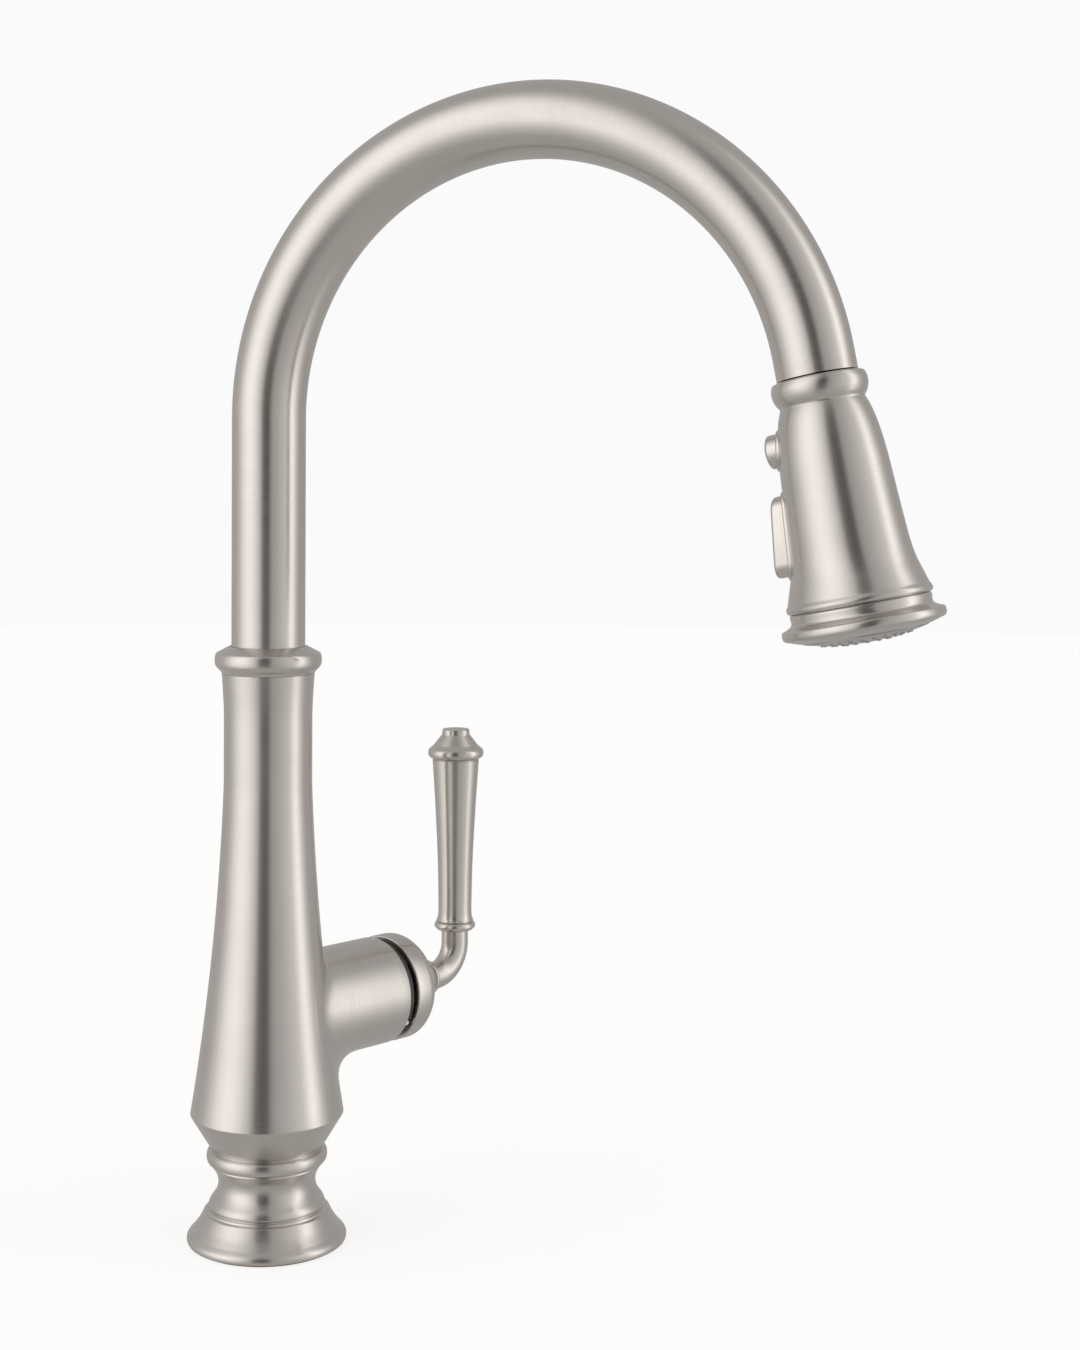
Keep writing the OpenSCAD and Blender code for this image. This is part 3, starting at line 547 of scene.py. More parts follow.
FOOT_R = half_width("foot")
FOOT_TOP = high("foot").z
NECK_R = FOOT_R - 11.5
FOOT_BORE = NECK_R - 2.4
GASKET_IN = FOOT_BORE + 4
GASKET_OUT = half_width("deck_gasket")
GASKET_T = high("deck_gasket").z
WAIST_R = TUBE_R + 2.7
CREASE_R = WAIST_R + 12
CREASE_Z = 48.0
FLARE_TOP = 170.0
TOP_FLARE = 14.5
COLUMN_TOP = low("swivel_collar").z
SPIGOT_TOP = high("column_shell").z
SPIGOT_R = WAIST_R + 0.4
BORE_R = TUBE_R + 0.7
COLUMN_WALL = 3.2
CAVITY_TOP = 145.0
BOSS_END = 54.5
BOSS_BORE = 17.5
BOSS_WALL_R = 20.4


def build_foot():
    """The turned foot: flared rim, two steps, a rounded bulge, a concave neck and a top bead."""
    rim = flow([(FOOT_R - 1.7, 0), (FOOT_R - 0.35, 0.8), (FOOT_R, 2.2), (FOOT_R - 0.4, 3.4),
                (FOOT_R - 1.8, 4.9)], 4)
    skirt = flow([(FOOT_R - 1.8, 4.9), (FOOT_R - 3.9, 7.6), (FOOT_R - 5.3, 10.0), (NECK_R + 5.5, 11.4)], 4)
    steps = rounded([(NECK_R + 5.5, 11.4), (NECK_R + 5.2, 12.0), (NECK_R + 4.1, 12.3), (NECK_R + 3.9, 13.0),
                     (NECK_R + 3.2, 13.2), (NECK_R + 3.3, 13.6)], 0.25)
    bulge = flow([(NECK_R + 3.3, 13.6), (NECK_R + 3.5, 14.6), (NECK_R + 2.9, 16.1), (NECK_R + 1.6, 17.9),
                  (NECK_R + 0.5, 19.8), (NECK_R, 22.0), (NECK_R + 0.1, 24.2), (NECK_R + 0.8, 26.4),
                  (NECK_R + 2.0, 28.4)], 4)
    undercut = rounded([(NECK_R + 2.0, 28.4), (NECK_R + 2.5, 29.1), (NECK_R + 2.4, 29.7)], 0.3)
    bead = flow([(NECK_R + 2.4, 29.7), (NECK_R + 3.7, 30.3), (NECK_R + 4.25, 31.6), (NECK_R + 4.25, 33.3),
                 (NECK_R + 3.7, 34.6), (NECK_R + 2.6, FOOT_TOP - 0.25)], 4)
    under = [(FOOT_BORE, 0), (GASKET_IN, 0), (GASKET_IN, GASKET_T), (GASKET_OUT, GASKET_T), (GASKET_OUT, 0)]
    top = [(NECK_R + 2.5, FOOT_TOP), (FOOT_BORE, FOOT_TOP)]
    outline = under + rim + skirt[1:] + steps[1:] + bulge[1:] + undercut[1:] + bead[1:] + top
    turned("foot_turned", outline, DECK, "column", nickel(), ["foot"])


def column_outline():
    """Outer and inner outline of the column, from the foot up to the spigot and down the bore."""
    steps = 44
    lower = rounded([(FOOT_BORE - 0.5, FOOT_TOP), (NECK_R + 2.7, FOOT_TOP), (CREASE_R, CREASE_Z, 0.9),
                     (column_radius(CREASE_Z + 6), CREASE_Z + 6)], 0.2, 5)
    flare = [(column_radius(z), z)
             for z in (CREASE_Z + 6 + (COLUMN_TOP - CREASE_Z - 6.4) * i / steps for i in range(1, steps + 1))]
    lip = rounded([(column_radius(COLUMN_TOP - 0.4), COLUMN_TOP - 0.4), (column_radius(COLUMN_TOP), COLUMN_TOP),
                   (SPIGOT_R, COLUMN_TOP), (SPIGOT_R, SPIGOT_TOP), (BORE_R, SPIGOT_TOP)], 0.12)
    low_z = CREASE_Z + 5
    inside = [(BORE_R, CAVITY_TOP)]
    for i in range(17):
        z = CAVITY_TOP + (low_z - CAVITY_TOP) * i / 16
        inside.append((max(BORE_R, column_radius(z) - COLUMN_WALL), z - 0.01 * (i == 0)))
    return lower + flare + lip[1:] + inside + [(FOOT_BORE - 0.5, FOOT_TOP + 10)]


def boss_reach(turn):
    """How far the fillet reaches round the boss; a turn of 0 is the top."""
    up, down = max(0.0, math.cos(turn)), max(0.0, -math.cos(turn))
    sizes = shape()
    return sizes.fillet_side + (sizes.fillet_top - sizes.fillet_side) * up ** 1.3 \
        + (sizes.fillet_low - sizes.fillet_side) * down


def boss_gap(out, radius, turn):
    """Signed distance from the blended surface of column and boss, at a place about the handle's axis."""
    rise, side = radius * math.cos(turn), radius * math.sin(turn)
    around = math.hypot(out, side)
    z = HUB_Z + rise
    slope = (column_radius(z + 0.5) - column_radius(z - 0.5))
    lean = 1 / math.hypot(1, slope)
    to_column = (around - column_radius(z)) * lean
    to_boss = radius - BOSS_WALL_R
    facing = (side / around * math.sin(turn) - slope * math.cos(turn)) * lean
    reach = max(0.05, boss_reach(turn) * (1 - max(0.0, facing)))
    overlap = max(reach - abs(to_column - to_boss), 0) / reach
    return min(to_column, to_boss) - overlap * overlap * reach / 4


def boss_surface(angle, turn):
    """Where a ray from inside the column meets the blended surface, as distance out and radius."""
    start = -6.0
    near, far = 5.0, 90.0
    for _ in range(34):
        middle = (near + far) / 2
        if boss_gap(start + middle * math.cos(angle), middle * math.sin(angle), turn) < 0:
            near = middle
        else:
            far = middle
    return start + near * math.cos(angle), near * math.sin(angle)


def add_boss(bm, sides):
    """Adds the side boss, whose inner end flares into the column on a fillet."""
    rays = 30
    straight_l = 43.0
    outline = [(BOSS_BORE, 12.0)] + [(BOSS_WALL_R + 8 - i * 8 / rays, 20 + i) for i in range(rays)]
    outline += rounded([(BOSS_WALL_R, straight_l + 8), (BOSS_WALL_R, BOSS_END), (BOSS_BORE + 0.4, BOSS_END),
                        (BOSS_BORE, BOSS_END - 0.5)], shape().edge)
    spin_outline(bm, outline, sides, True)
    station = bm.verts.layers.int["station"]
    first = math.atan2(BOSS_WALL_R, straight_l + 6)
    for vert in bm.verts:
        index = vert[station]
        if not 1 <= index <= rays:
            continue
        turn = math.atan2(vert.co.y, -vert.co.x)
        spread_out = min(1, max(0, (abs(math.sin(turn)) - 0.3) / 0.6))
        last = math.radians(44 + 24 * spread_out * spread_out * (3 - 2 * spread_out))
        share = (index - 1) / (rays - 1)
        out, radius = boss_surface(last + (first - last) * share, turn)
        sink = 0.12 if index == 1 else 0
        vert.co = Vector((-(radius - sink) * math.cos(turn), (radius - sink) * math.sin(turn), out - sink))


def build_column():
    """The column casting: waist, flare and crease, with the side boss blended in."""
    bm = start_mesh()
    sides = shape().sides
    add_boss(bm, sides)
    map_turned(bm)
    bm.transform(DECK.inverted() @ VALVE)
    boss = bpy.data.meshes.new("boss")
    bm.to_mesh(boss)
    bm.free()
    bm = start_mesh()
    spin_outline(bm, column_outline(), sides)
    map_turned(bm)
    bm.from_mesh(boss)
    bpy.data.meshes.remove(boss)
    make_piece(bm, "column_casting", DECK, "column", nickel(), ["column_shell"])


def build_collar():
    """The swivel collar: a bulged band under a bevel that meets the spout at a fine seam."""
    edge = half_width("swivel_collar")
    top = high("swivel_collar").z
    lip = TUBE_R + 0.3
    inner = SPIGOT_R + 0.05
    low_z = COLUMN_TOP + 0.05
    band = flow([(WAIST_R + 0.9, low_z + 0.35), (WAIST_R + 1.4, low_z + 1.0), (edge - 0.9, low_z + 2.1),
                 (edge - 0.2, low_z + 3.2), (edge, low_z + 4.7), (edge - 0.1, low_z + 6.3),
                 (edge - 0.3, low_z + 7.0)], 5)
    bevel = rounded([(edge - 0.3, low_z + 7.0), (edge - 0.6, low_z + 7.5), (lip + 0.5, top), (lip, top - 0.4),
                     (lip, top - 3.9), (inner, top - 3.9)], 0.3)
    outline = [(inner, low_z), (WAIST_R + 0.75, low_z)] + band + bevel[1:]
    turned("swivel_collar_ring", outline, DECK, "column", nickel(), ["swivel_collar"])


# ---- Spout ----

def sweep_spout(bm, rings, stations_leg, stations_arch, low_z, end_down):
    """Sweeps ring-shaped faces up the leg, round the arch and down to the spout's end."""
    along = bm.verts.layers.float["along"]
    faces = list(rings)
    walked = 0.0

    def step_on(found):
        """Notes how far along the run the new points lie, and parts them from the new faces."""
        nonlocal walked
        verts = [g for g in found if isinstance(g, bmesh.types.BMVert)]
        for vert in verts:
            vert[along] = walked
        return [g for g in found if isinstance(g, bmesh.types.BMFace)], verts

    for _ in range(stations_leg):
        grown = bmesh.ops.extrude_face_region(bm, geom=faces, use_keep_orig=False)["geom"]
        rise = (LEG_TOP - low_z) / stations_leg
        walked += rise
        old = faces
        faces, verts = step_on(grown)
        bmesh.ops.translate(bm, verts=verts, vec=(0, 0, rise))
        bmesh.ops.delete(bm, geom=[f for f in old if f.is_valid], context="FACES_ONLY")
    turn = math.radians(ARCH_DEG) / stations_arch
    for _ in range(stations_arch):
        grown = bmesh.ops.extrude_face_region(bm, geom=faces, use_keep_orig=False)["geom"]
        walked += turn * ARCH_R
        old = faces
        faces, verts = step_on(grown)
        bmesh.ops.rotate(bm, verts=verts, cent=(0, -ARCH_R, LEG_TOP), matrix=Matrix.Rotation(turn, 3, "X"))
        bmesh.ops.delete(bm, geom=[f for f in old if f.is_valid], context="FACES_ONLY")
    for down in end_down:
        grown = bmesh.ops.extrude_face_region(bm, geom=faces, use_keep_orig=False)["geom"]
        walked += down
        old = faces
        faces, verts = step_on(grown)
        bmesh.ops.translate(bm, verts=verts, vec=HEAD_DOWN * down)
        bmesh.ops.delete(bm, geom=[f for f in old if f.is_valid], context="FACES_ONLY")


def ring_faces(bm, outer, inner, z, sides):
    """A flat ring of faces between two circles, or a disc when the inner radius is zero."""
    made = bmesh.ops.create_circle(bm, cap_ends=False, radius=outer, segments=sides)["verts"]
    outer_edges = list({e for v in made for e in v.link_edges})
    if inner > 0:
        hole = bmesh.ops.create_circle(bm, cap_ends=False, radius=inner, segments=sides)["verts"]
        inner_edges = list({e for v in hole for e in v.link_edges})
        faces = bmesh.ops.bridge_loops(bm, edges=outer_edges + inner_edges)["faces"]
        made += hole
    else:
        faces = bmesh.ops.contextual_create(bm, geom=outer_edges)["faces"]
    bmesh.ops.translate(bm, verts=made, vec=(0, 0, z))
    return faces


def map_spout(bm):
    """Lays the pattern on a swept tube: U goes round it and V goes along it, in millimetres."""
    along, uv = bm.verts.layers.float["along"], bm.loops.layers.uv["surface"]

    def turn_of(point):
        """The point's angle round the tube, from the inside of the arch."""
        if point.z <= LEG_TOP and point.y > -ARCH_R:
            return math.atan2(point.x, -point.y)
        spoke = Vector((0, point.y + ARCH_R, point.z - LEG_TOP))
        outward = spoke.length - ARCH_R
        if point.z < LEG_TOP + ARCH_R * math.sin(math.radians(ARCH_DEG)) and point.y < -ARCH_R:
            outward = -(point - HEAD_AT).dot(HEAD_SIDE)
        return math.atan2(point.x, -outward)

    for face in bm.faces:
        centre = turn_of(face.calc_center_median())
        for loop in face.loops:
            turn = turn_of(loop.vert.co)
            turn += TAU * round((centre - turn) / TAU)
            loop[uv].uv = (turn * 20, loop.vert[along])


def build_spout():
    """The gooseneck tube: straight leg, arch and straight end, with its wall."""
    bm = start_mesh()
    faces = ring_faces(bm, TUBE_R, TUBE_R - TUBE_WALL, TUBE_LOW, 96)
    sweep_spout(bm, faces, 12, 110, TUBE_LOW, [3.0, 3.4, 0.3, 0.3])
    bmesh.ops.recalc_face_normals(bm, faces=bm.faces)
    map_spout(bm)
    make_piece(bm, "spout_gooseneck", DECK, "spout", nickel(), ["spout_tube"])


# ---- Handle ----

CAP_FROM = BOSS_END + 4.3
CAP_RIM = CAP_FROM + 6.7
CAP_TO = CAP_RIM + 16.5
STEM_R = 5.3
STEM_BEND = 12.0
STEM_FROM = CAP_TO + 2.4


def build_valve_trim():
    """The dark bonnet ring in the gap behind the handle cap, and its small screw."""
    ring = rounded([(15.3, BOSS_END - 2.5), (17.2, BOSS_END - 2.5), (17.2, BOSS_END + 0.1), (18.6, BOSS_END + 0.1),
                    (18.6, BOSS_END + 3.5), (12.6, BOSS_END + 3.5), (12.6, BOSS_END - 2.5),
                    (15.3, BOSS_END - 2.5)], 0.3)
    turned("bonnet_ring_dark", ring[:-1], VALVE, "column", dark_plastic(), ["bonnet_ring"])
    head = rounded([(0, -2.2), (1.1, -2.2), (1.1, 0.5), (0.75, 0.8), (0.5, 0.45), (0, 0.45)], 0.12)
    turn = math.radians(-56)
    spoke = VALVE.to_3x3() @ Vector((math.cos(turn), math.sin(turn), 0))
    at = HANDLE_OUT * (BOSS_END + 2.15) + UP * HUB_Z + spoke.normalized() * 18.4
    turned("bonnet_set_screw", head, place(at, spoke, HANDLE_OUT), "column", white_plastic(),
           ["bonnet_screw"])


def build_handle():
    """The handle: domed cap, neck ring, bent stem, ferrule, grip and finial."""
    look = nickel()
    rim = rounded([(BOSS_WALL_R - 1.7, CAP_FROM + 0.05), (BOSS_WALL_R, CAP_FROM, 0.6),
                   (BOSS_WALL_R, CAP_RIM - 0.4)], 0.5)
    dome = flow([(BOSS_WALL_R, CAP_RIM - 0.4), (BOSS_WALL_R - 0.15, CAP_RIM + 0.5), (19.75, CAP_RIM + 1.7),
                 (18.5, CAP_RIM + 3.5), (16.1, CAP_RIM + 6.0), (13.3, CAP_RIM + 8.6), (10.5, CAP_RIM + 11.6),
                 (8.0, CAP_RIM + 14.4), (6.5, CAP_TO)], 5)
    inner = [(0, CAP_TO), (0, CAP_TO - 7), (7.0, CAP_TO - 7.2), (7.0, BOSS_END + 1.5), (9, BOSS_END + 1.5),
             (9, CAP_RIM + 7), (BOSS_WALL_R - 1.7, CAP_RIM + 0.5)]
    turned("handle_cap_dome", rim + dome[1:] + inner, VALVE, "lever", look, ["handle_cap"], True)
    ring = [(3.1, CAP_TO)] + arc((STEM_R + 0.35, CAP_TO + 1.2), 1.2, -90, 90, 10) + [(3.1, STEM_FROM)]
    turned("lever_neck_ring", ring, VALVE, "lever", look, ["lever_ring"])
    build_stem(look)
    base = GRIP_BOTTOM
    ferrule = [(3.1, base - 4.2), (STEM_R, base - 4.2)]
    ferrule += flow([(STEM_R + 0.3, base - 4.1), (STEM_R + 1.7, base - 3.7), (STEM_R + 2.75, base - 2.6),
                     (STEM_R + 2.9, base - 1.9), (STEM_R + 2.5, base - 0.9), (STEM_R + 1.7, base - 0.3)], 4)
    ferrule += [(7.1, base - 0.05), (3.1, base - 0.05)]
    turned("grip_ferrule_ring", ferrule, GRIP, "lever", look, ["grip_ferrule"])
    length = GRIP_TOP - GRIP_BOTTOM
    grip = flow([(7.45, base), (6.85, base + 1.4), (6.65, base + 4.5), (6.7, base + 0.15 * length),
                 (6.9, base + 0.32 * length), (7.3, base + 0.48 * length), (7.8, base + 0.63 * length),
                 (8.4, base + 0.79 * length), (9.0, base + 0.93 * length), (9.3, GRIP_TOP)], 6)
    grip = [(0, base)] + grip + [(0, GRIP_TOP)]
    turned("lever_grip_turned", grip, GRIP, "lever", look, ["lever_grip"])
    top = GRIP_TOP
    flange = flow([(9.1, top + 0.5), (9.7, top + 0.75), (10.8, top + 1.6), (11.1, top + 2.9), (10.8, top + 4.2),
                   (9.9, top + 5.0)], 4)
    cone = rounded([(9.9, top + 5.0), (8.7, top + 6.1), (6.0, top + 9.6), (5.5, top + 10.2), (5.4, top + 12.4, 0.7),
                    (0, top + 12.5)], 0.35)
    turned("finial_knob", [(0, top), (9.0, top)] + flange + cone[1:], GRIP, "lever", look, ["finial"])


def build_stem(look):
    """The lever's stem: a round bar out of the cap, bent upright to the ferrule."""
    bm = start_mesh()
    along = bm.verts.layers.float["along"]
    sides = 64
    made = bmesh.ops.create_circle(bm, cap_ends=True, radius=STEM_R, segments=sides)["verts"]
    bmesh.ops.translate(bm, verts=made, vec=(0, 0, STEM_FROM))
    faces = list(bm.faces)
    bend_from = LEVER_L - STEM_BEND
    walked = 0.0
    moves = [("out", (bend_from - STEM_FROM) / 2)] * 2 + [("turn", math.radians(90) / 20)] * 20
    moves += [("up", (GRIP_BOTTOM - 4.2 - HUB_Z - STEM_BEND) / 2)] * 2
    for kind, amount in moves:
        grown = bmesh.ops.extrude_face_region(bm, geom=faces, use_keep_orig=False)["geom"]
        bmesh.ops.delete(bm, geom=[f for f in faces if f.is_valid], context="FACES_ONLY")
        faces = [g for g in grown if isinstance(g, bmesh.types.BMFace)]
        verts = [g for g in grown if isinstance(g, bmesh.types.BMVert)]
        walked += amount * STEM_BEND if kind == "turn" else amount
        for vert in verts:
            vert[along] = walked
        if kind == "out":
            bmesh.ops.translate(bm, verts=verts, vec=(0, 0, amount))
        elif kind == "turn":
            bmesh.ops.rotate(bm, verts=verts, cent=(-STEM_BEND, 0, bend_from),
                             matrix=Matrix.Rotation(-amount, 3, "Y"))
        else:
            bmesh.ops.translate(bm, verts=verts, vec=(-amount, 0, 0))
    bmesh.ops.recalc_face_normals(bm, faces=bm.faces)
    uv = bm.loops.layers.uv["surface"]
    for face in bm.faces:
        for loop in face.loops:
            co = loop.vert.co
            loop[uv].uv = (math.atan2(co.y, co.x + 1) * 20, loop.vert[along])
    make_piece(bm, "lever_bent_stem", VALVE, "lever", look, ["lever_stem"])


# ---- Spray head: heights are minus the distance below the spout's end ----

SHELL_END = 76.0
RING_BORE = 8.7
CORE_R = 11.6
SHELL_WALL = 1.6
PAUSE_S = 21.8
PAUSE_R = 5.7
ROCKER_HALF = 8.5
ROCKER_HALF_W = 5.0


def shell_radius(s):
    """Outer radius of the bell-shaped shell at a distance below the spout's end."""
    knots = [(9.5, 14.15), (11, 14.75), (13.5, 15.55), (16, 16.1), (21, 17.1), (28, 17.8), (38, 18.4), (48, 19.0),
             (58, 19.75), (64, 20.7), (69, 22.2), (72.9, 23.5), (74.2, 24.0), (77, 24.1)]
    for (s0, r0), (s1, r1) in zip(knots, knots[1:]):
        if s <= s1:
            return r0 + (r1 - r0) * (s - s0) / (s1 - s0)
    return knots[-1][1]


def build_spray_body():
    """The spray head's collar ring, bell-shaped shell and rim."""
    look = nickel()
    ring = flow([(TUBE_R + 0.5, -0.45), (TUBE_R + 1.7, -0.85), (TUBE_R + 2.1, -1.6), (TUBE_R + 2.45, -2.8),
                 (TUBE_R + 2.5, -4.2), (TUBE_R + 2.25, -5.8), (TUBE_R + 1.65, -7.4), (TUBE_R + 1.05, -8.3),
                 (TUBE_R + 0.75, -8.7)], 5)
    outline = [(RING_BORE, -0.4), (TUBE_R, -0.4)] + ring + [(14.05, -9.2), (14.05, -9.5), (RING_BORE, -9.5)]
    turned("spray_collar_ring", outline, HEAD, "spray_head", look, ["spray_ring"])
    build_shell(look)
    end = -SHELL_END
    groove = rounded([(17, end - 0.03), (23.0, end - 0.03), (23.3, end - 0.5), (23.35, end - 1.1),
                      (23.2, end - 2.6)], 0.2)
    step = flow([(23.2, end - 2.6), (23.5, end - 3.6), (24.9, end - 4.5), (26.2, end - 5.0)], 4)
    rim = flow([(26.2, end - 5.0), (26.8, end - 5.4), (27.0, end - 6.2), (27.0, end - 7.2), (26.7, end - 8.0),
                (26.1, end - 8.5)], 4)
    cone = rounded([(26.1, end - 8.5), (21.8, end - 9.85), (21.0, end - 10.05), (20.8, end - 9.3),
                    (17, end - 9.3)], 0.2)
    outline = groove + step[1:] + rim[1:] + cone[1:]
    turned("spray_rim_turned", outline, HEAD, "spray_head", look, ["spray_rim"])


def build_shell(look):
    """The bell-shaped shell, with openings for the pause button and the mode rocker."""
    knots = [(9.5, 14.15), (11, 14.75), (13.5, 15.55), (17, 16.35), (22, 17.15), (29, 17.85), (38, 18.4), (48, 19.0),
             (58, 19.75), (64, 20.7), (69, 22.15), (72.9, 23.35)]
    outer = flow([(r, -s) for s, r in knots], 5)
    lip = flow([(23.35, -72.9), (23.95, -73.9), (24.1, -74.6), (23.9, -75.4), (23.35, -75.9)], 4)
    inner = [(22.0, -75.9)] + [(r - SHELL_WALL, -s) for s, r in reversed(knots[4:])]
    inner += [(CORE_R + 0.2, -15), (CORE_R + 0.2, -9.5)]
    bm = start_mesh()
    spin_outline(bm, outer + lip[1:] + inner, shape().sides)
    map_turned(bm)
    shell = make_piece(bm, "spray_shell_bell", HEAD, "spray_head", look, ["spray_shell"])
    for half, radius, s in ((0, PAUSE_R + 0.9, PAUSE_S), (ROCKER_HALF, ROCKER_HALF_W + 0.9, ROCKER_S)):
        cutter = bmesh.new()
        faces = stadium_faces(cutter, half, radius, s, 6.0)
        grown = bmesh.ops.extrude_face_region(cutter, geom=faces, use_keep_orig=True)["geom"]
        bmesh.ops.translate(cutter, verts=[g for g in grown if isinstance(g, bmesh.types.BMVert)], vec=(0, 40, 0))
        bmesh.ops.recalc_face_normals(cutter, faces=cutter.faces)
        cut_with(shell, cutter)


def cut_with(piece, cutter):
    """Cuts a hole through a finished piece, in the spray head's place."""
    cutter.transform(HEAD)
    mesh = bpy.data.meshes.new("cutter")
    cutter.to_mesh(mesh)
    cutter.free()
    tool = bpy.data.objects.new("cutter", mesh)
    bpy.context.scene.collection.objects.link(tool)
    cut = piece.modifiers.new("cut", "BOOLEAN")
    cut.operation, cut.solver, cut.object = "DIFFERENCE", "EXACT", tool
    bpy.context.view_layer.update()
    done = bpy.data.meshes.new_from_object(piece.evaluated_get(bpy.context.evaluated_depsgraph_get()))
    piece.modifiers.remove(cut)
    piece.data = done
    bpy.data.objects.remove(tool)
    bpy.data.meshes.remove(mesh)


def stadium(bm, half, radius, s, y, segments=48):
    """A closed loop with round ends, across the button side of the head; returns vertices and edges."""
    verts = bmesh.ops.create_circle(bm, cap_ends=False, radius=radius, segments=segments)["verts"]
    bmesh.ops.rotate(bm, verts=verts, matrix=Matrix.Rotation(math.pi / segments, 3, "Z"))
    for vert in verts:
        shift = half if vert.co.y > 0 else -half
        vert.co = Vector((vert.co.x, y, vert.co.y + shift - s))
    return verts, list({e for v in verts for e in v.link_edges})


def stadium_faces(bm, half, radius, s, y):
    """A flat face with round ends."""
    edges = stadium(bm, half, radius, s, y)[1]
    return bmesh.ops.contextual_create(bm, geom=edges)["faces"]


def loft(bm, loops):
    """Bridges a chain of loops into a wall."""
    for first, second in zip(loops, loops[1:]):
        bmesh.ops.bridge_loops(bm, edges=first[1] + second[1])


def map_flat(bm):
    """Lays the pattern on a pressed piece, seen from its face."""
    uv = bm.loops.layers.uv["surface"]
    for face in bm.faces:
        for loop in face.loops:
            co = loop.vert.co
            loop[uv].uv = (co.z + 0.4 * co.y, co.x + 0.4 * co.y)


def over_shell(co, proud):
    """Height over the head's axis of the shell's surface at a place beside the button line."""
    radius = shell_radius(-co.z)
    return math.sqrt(max(radius * radius - co.x * co.x, 1)) + proud


def add_bezel(bm, half, outer, inner, s, proud):
    """A raised frame that follows the shell round a button."""
    layers = [(outer, -1.4), (outer, proud - 0.45), (outer - 0.13, proud - 0.13), (outer - 0.45, proud),
              (inner + 0.25, proud), (inner + 0.07, proud - 0.08), (inner, proud - 0.3), (inner, -1.4)]
    loops = []
    for radius, lift in layers:
        verts, edges = stadium(bm, half, radius, s, 0)
        for vert in verts:
            vert.co.y = over_shell(vert.co, lift)
        loops.append((verts, edges))
    loft(bm, loops + loops[:1])
    bmesh.ops.recalc_face_normals(bm, faces=bm.faces)
    map_flat(bm)


def build_buttons():
    """The pause button and the mode rocker, each in its raised frame."""
    metal_look, button_look = nickel(), bright_nickel()
    bm = start_mesh()
    add_bezel(bm, 0, PAUSE_R + 1.2, PAUSE_R + 0.3, PAUSE_S, 0.9)
    make_piece(bm, "pause_bezel_ring", HEAD, "spray_head", metal_look, ["pause_bezel"])
    face = shell_radius(PAUSE_S) + 4.4
    button = [(0, 13.6), (PAUSE_R, 13.6)]
    button += flow([(PAUSE_R, face - 2.0), (PAUSE_R - 0.12, face - 1.45), (PAUSE_R - 0.6, face - 0.95),
                    (PAUSE_R - 1.6, face - 0.5), (PAUSE_R - 3.2, face - 0.15), (0, face)], 4)
    across = HEAD @ Matrix.Translation((0, 0, -PAUSE_S)) @ Matrix.Rotation(math.radians(-90), 4, "X")
    turned("pause_button_cap", button, across, "pause_button", button_look, ["pause_button"])
    bm = start_mesh()
    add_bezel(bm, ROCKER_HALF, ROCKER_HALF_W + 1.3, ROCKER_HALF_W + 0.35, ROCKER_S, 0.9)
    make_piece(bm, "rocker_bezel_frame", HEAD, "spray_head", metal_look, ["rocker_bezel"])
    bm = start_mesh()
    crown = shell_radius(ROCKER_S) + 5.0
    layers = [(0, 13.9), (0, crown - 1.5), (0.12, crown - 0.9), (0.5, crown - 0.35), (1.1, crown - 0.1),
              (1.8, crown), (2.2, crown - 0.05), (2.8, crown - 0.3), (3.8, crown - 0.5), (4.85, crown - 0.55)]
    loops = [stadium(bm, ROCKER_HALF, ROCKER_HALF_W - inset, ROCKER_S, y) for inset, y in layers]
    loft(bm, loops)
    for verts, edges in (loops[0], loops[-1]):
        bmesh.ops.contextual_create(bm, geom=edges)
    bmesh.ops.recalc_face_normals(bm, faces=bm.faces)
    slope = math.tan(math.radians(7))
    for vert in bm.verts:
        if vert.co.y > crown - 3:
            vert.co.y -= (vert.co.z + ROCKER_S) * slope
    map_flat(bm)
    make_piece(bm, "mode_rocker_key", HEAD, "mode_rocker", button_look, ["mode_rocker"])


FACE_TO = 88.9
NOZZLE_RINGS = ((7.6, 12), (11.2, 18), (14.6, 24))


def face_depth(r):
    """Distance of the spray face below the spout's end at a radius."""
    return FACE_TO - 2.7 * (r / 21) ** 2


def build_face():
    """The spray face, the silicone nozzles that stand in it, and the aerator in its middle."""
    radii = [4.7, 6, 8, 10, 12, 14, 15.5, 17, 18.5, 20, 20.6]
    outline = [(r, -face_depth(r)) for r in radii]
    outline += [(20.6, -85.5), (16.8, -85.5), (16.8, -85), (4.7, -85)]
    turned("spray_face_plate", outline, HEAD, "spray_head", face_plastic(), ["face_plate"])
    bm = start_mesh()
    for radius, count in NOZZLE_RINGS:
        for i in range(count):
            turn = TAU * (i + 0.5) / count
            made = bmesh.ops.create_cone(bm, cap_ends=True, segments=12, radius1=0.62, radius2=0.95,
                                         depth=1.8)["verts"]
            at = Vector((radius * math.cos(turn), radius * math.sin(turn), -face_depth(radius) + 0.55))
            bmesh.ops.translate(bm, verts=made, vec=at)
    bmesh.ops.recalc_face_normals(bm, faces=bm.faces)
    make_piece(bm, "spray_nozzles", HEAD, "spray_head", silicone(), ["nozzle_mat"])
    screen = rounded([(0, -84), (4.6, -84), (4.6, -88.5), (3.5, -88.5), (3.4, -87.0), (0, -86.8)], 0.25)
    turned("aerator_screen", screen, HEAD, "spray_head", steel(), ["aerator"])


# ---- Hose ----

HOSE_R = 5.5
HOSE_CUT_Y = -103


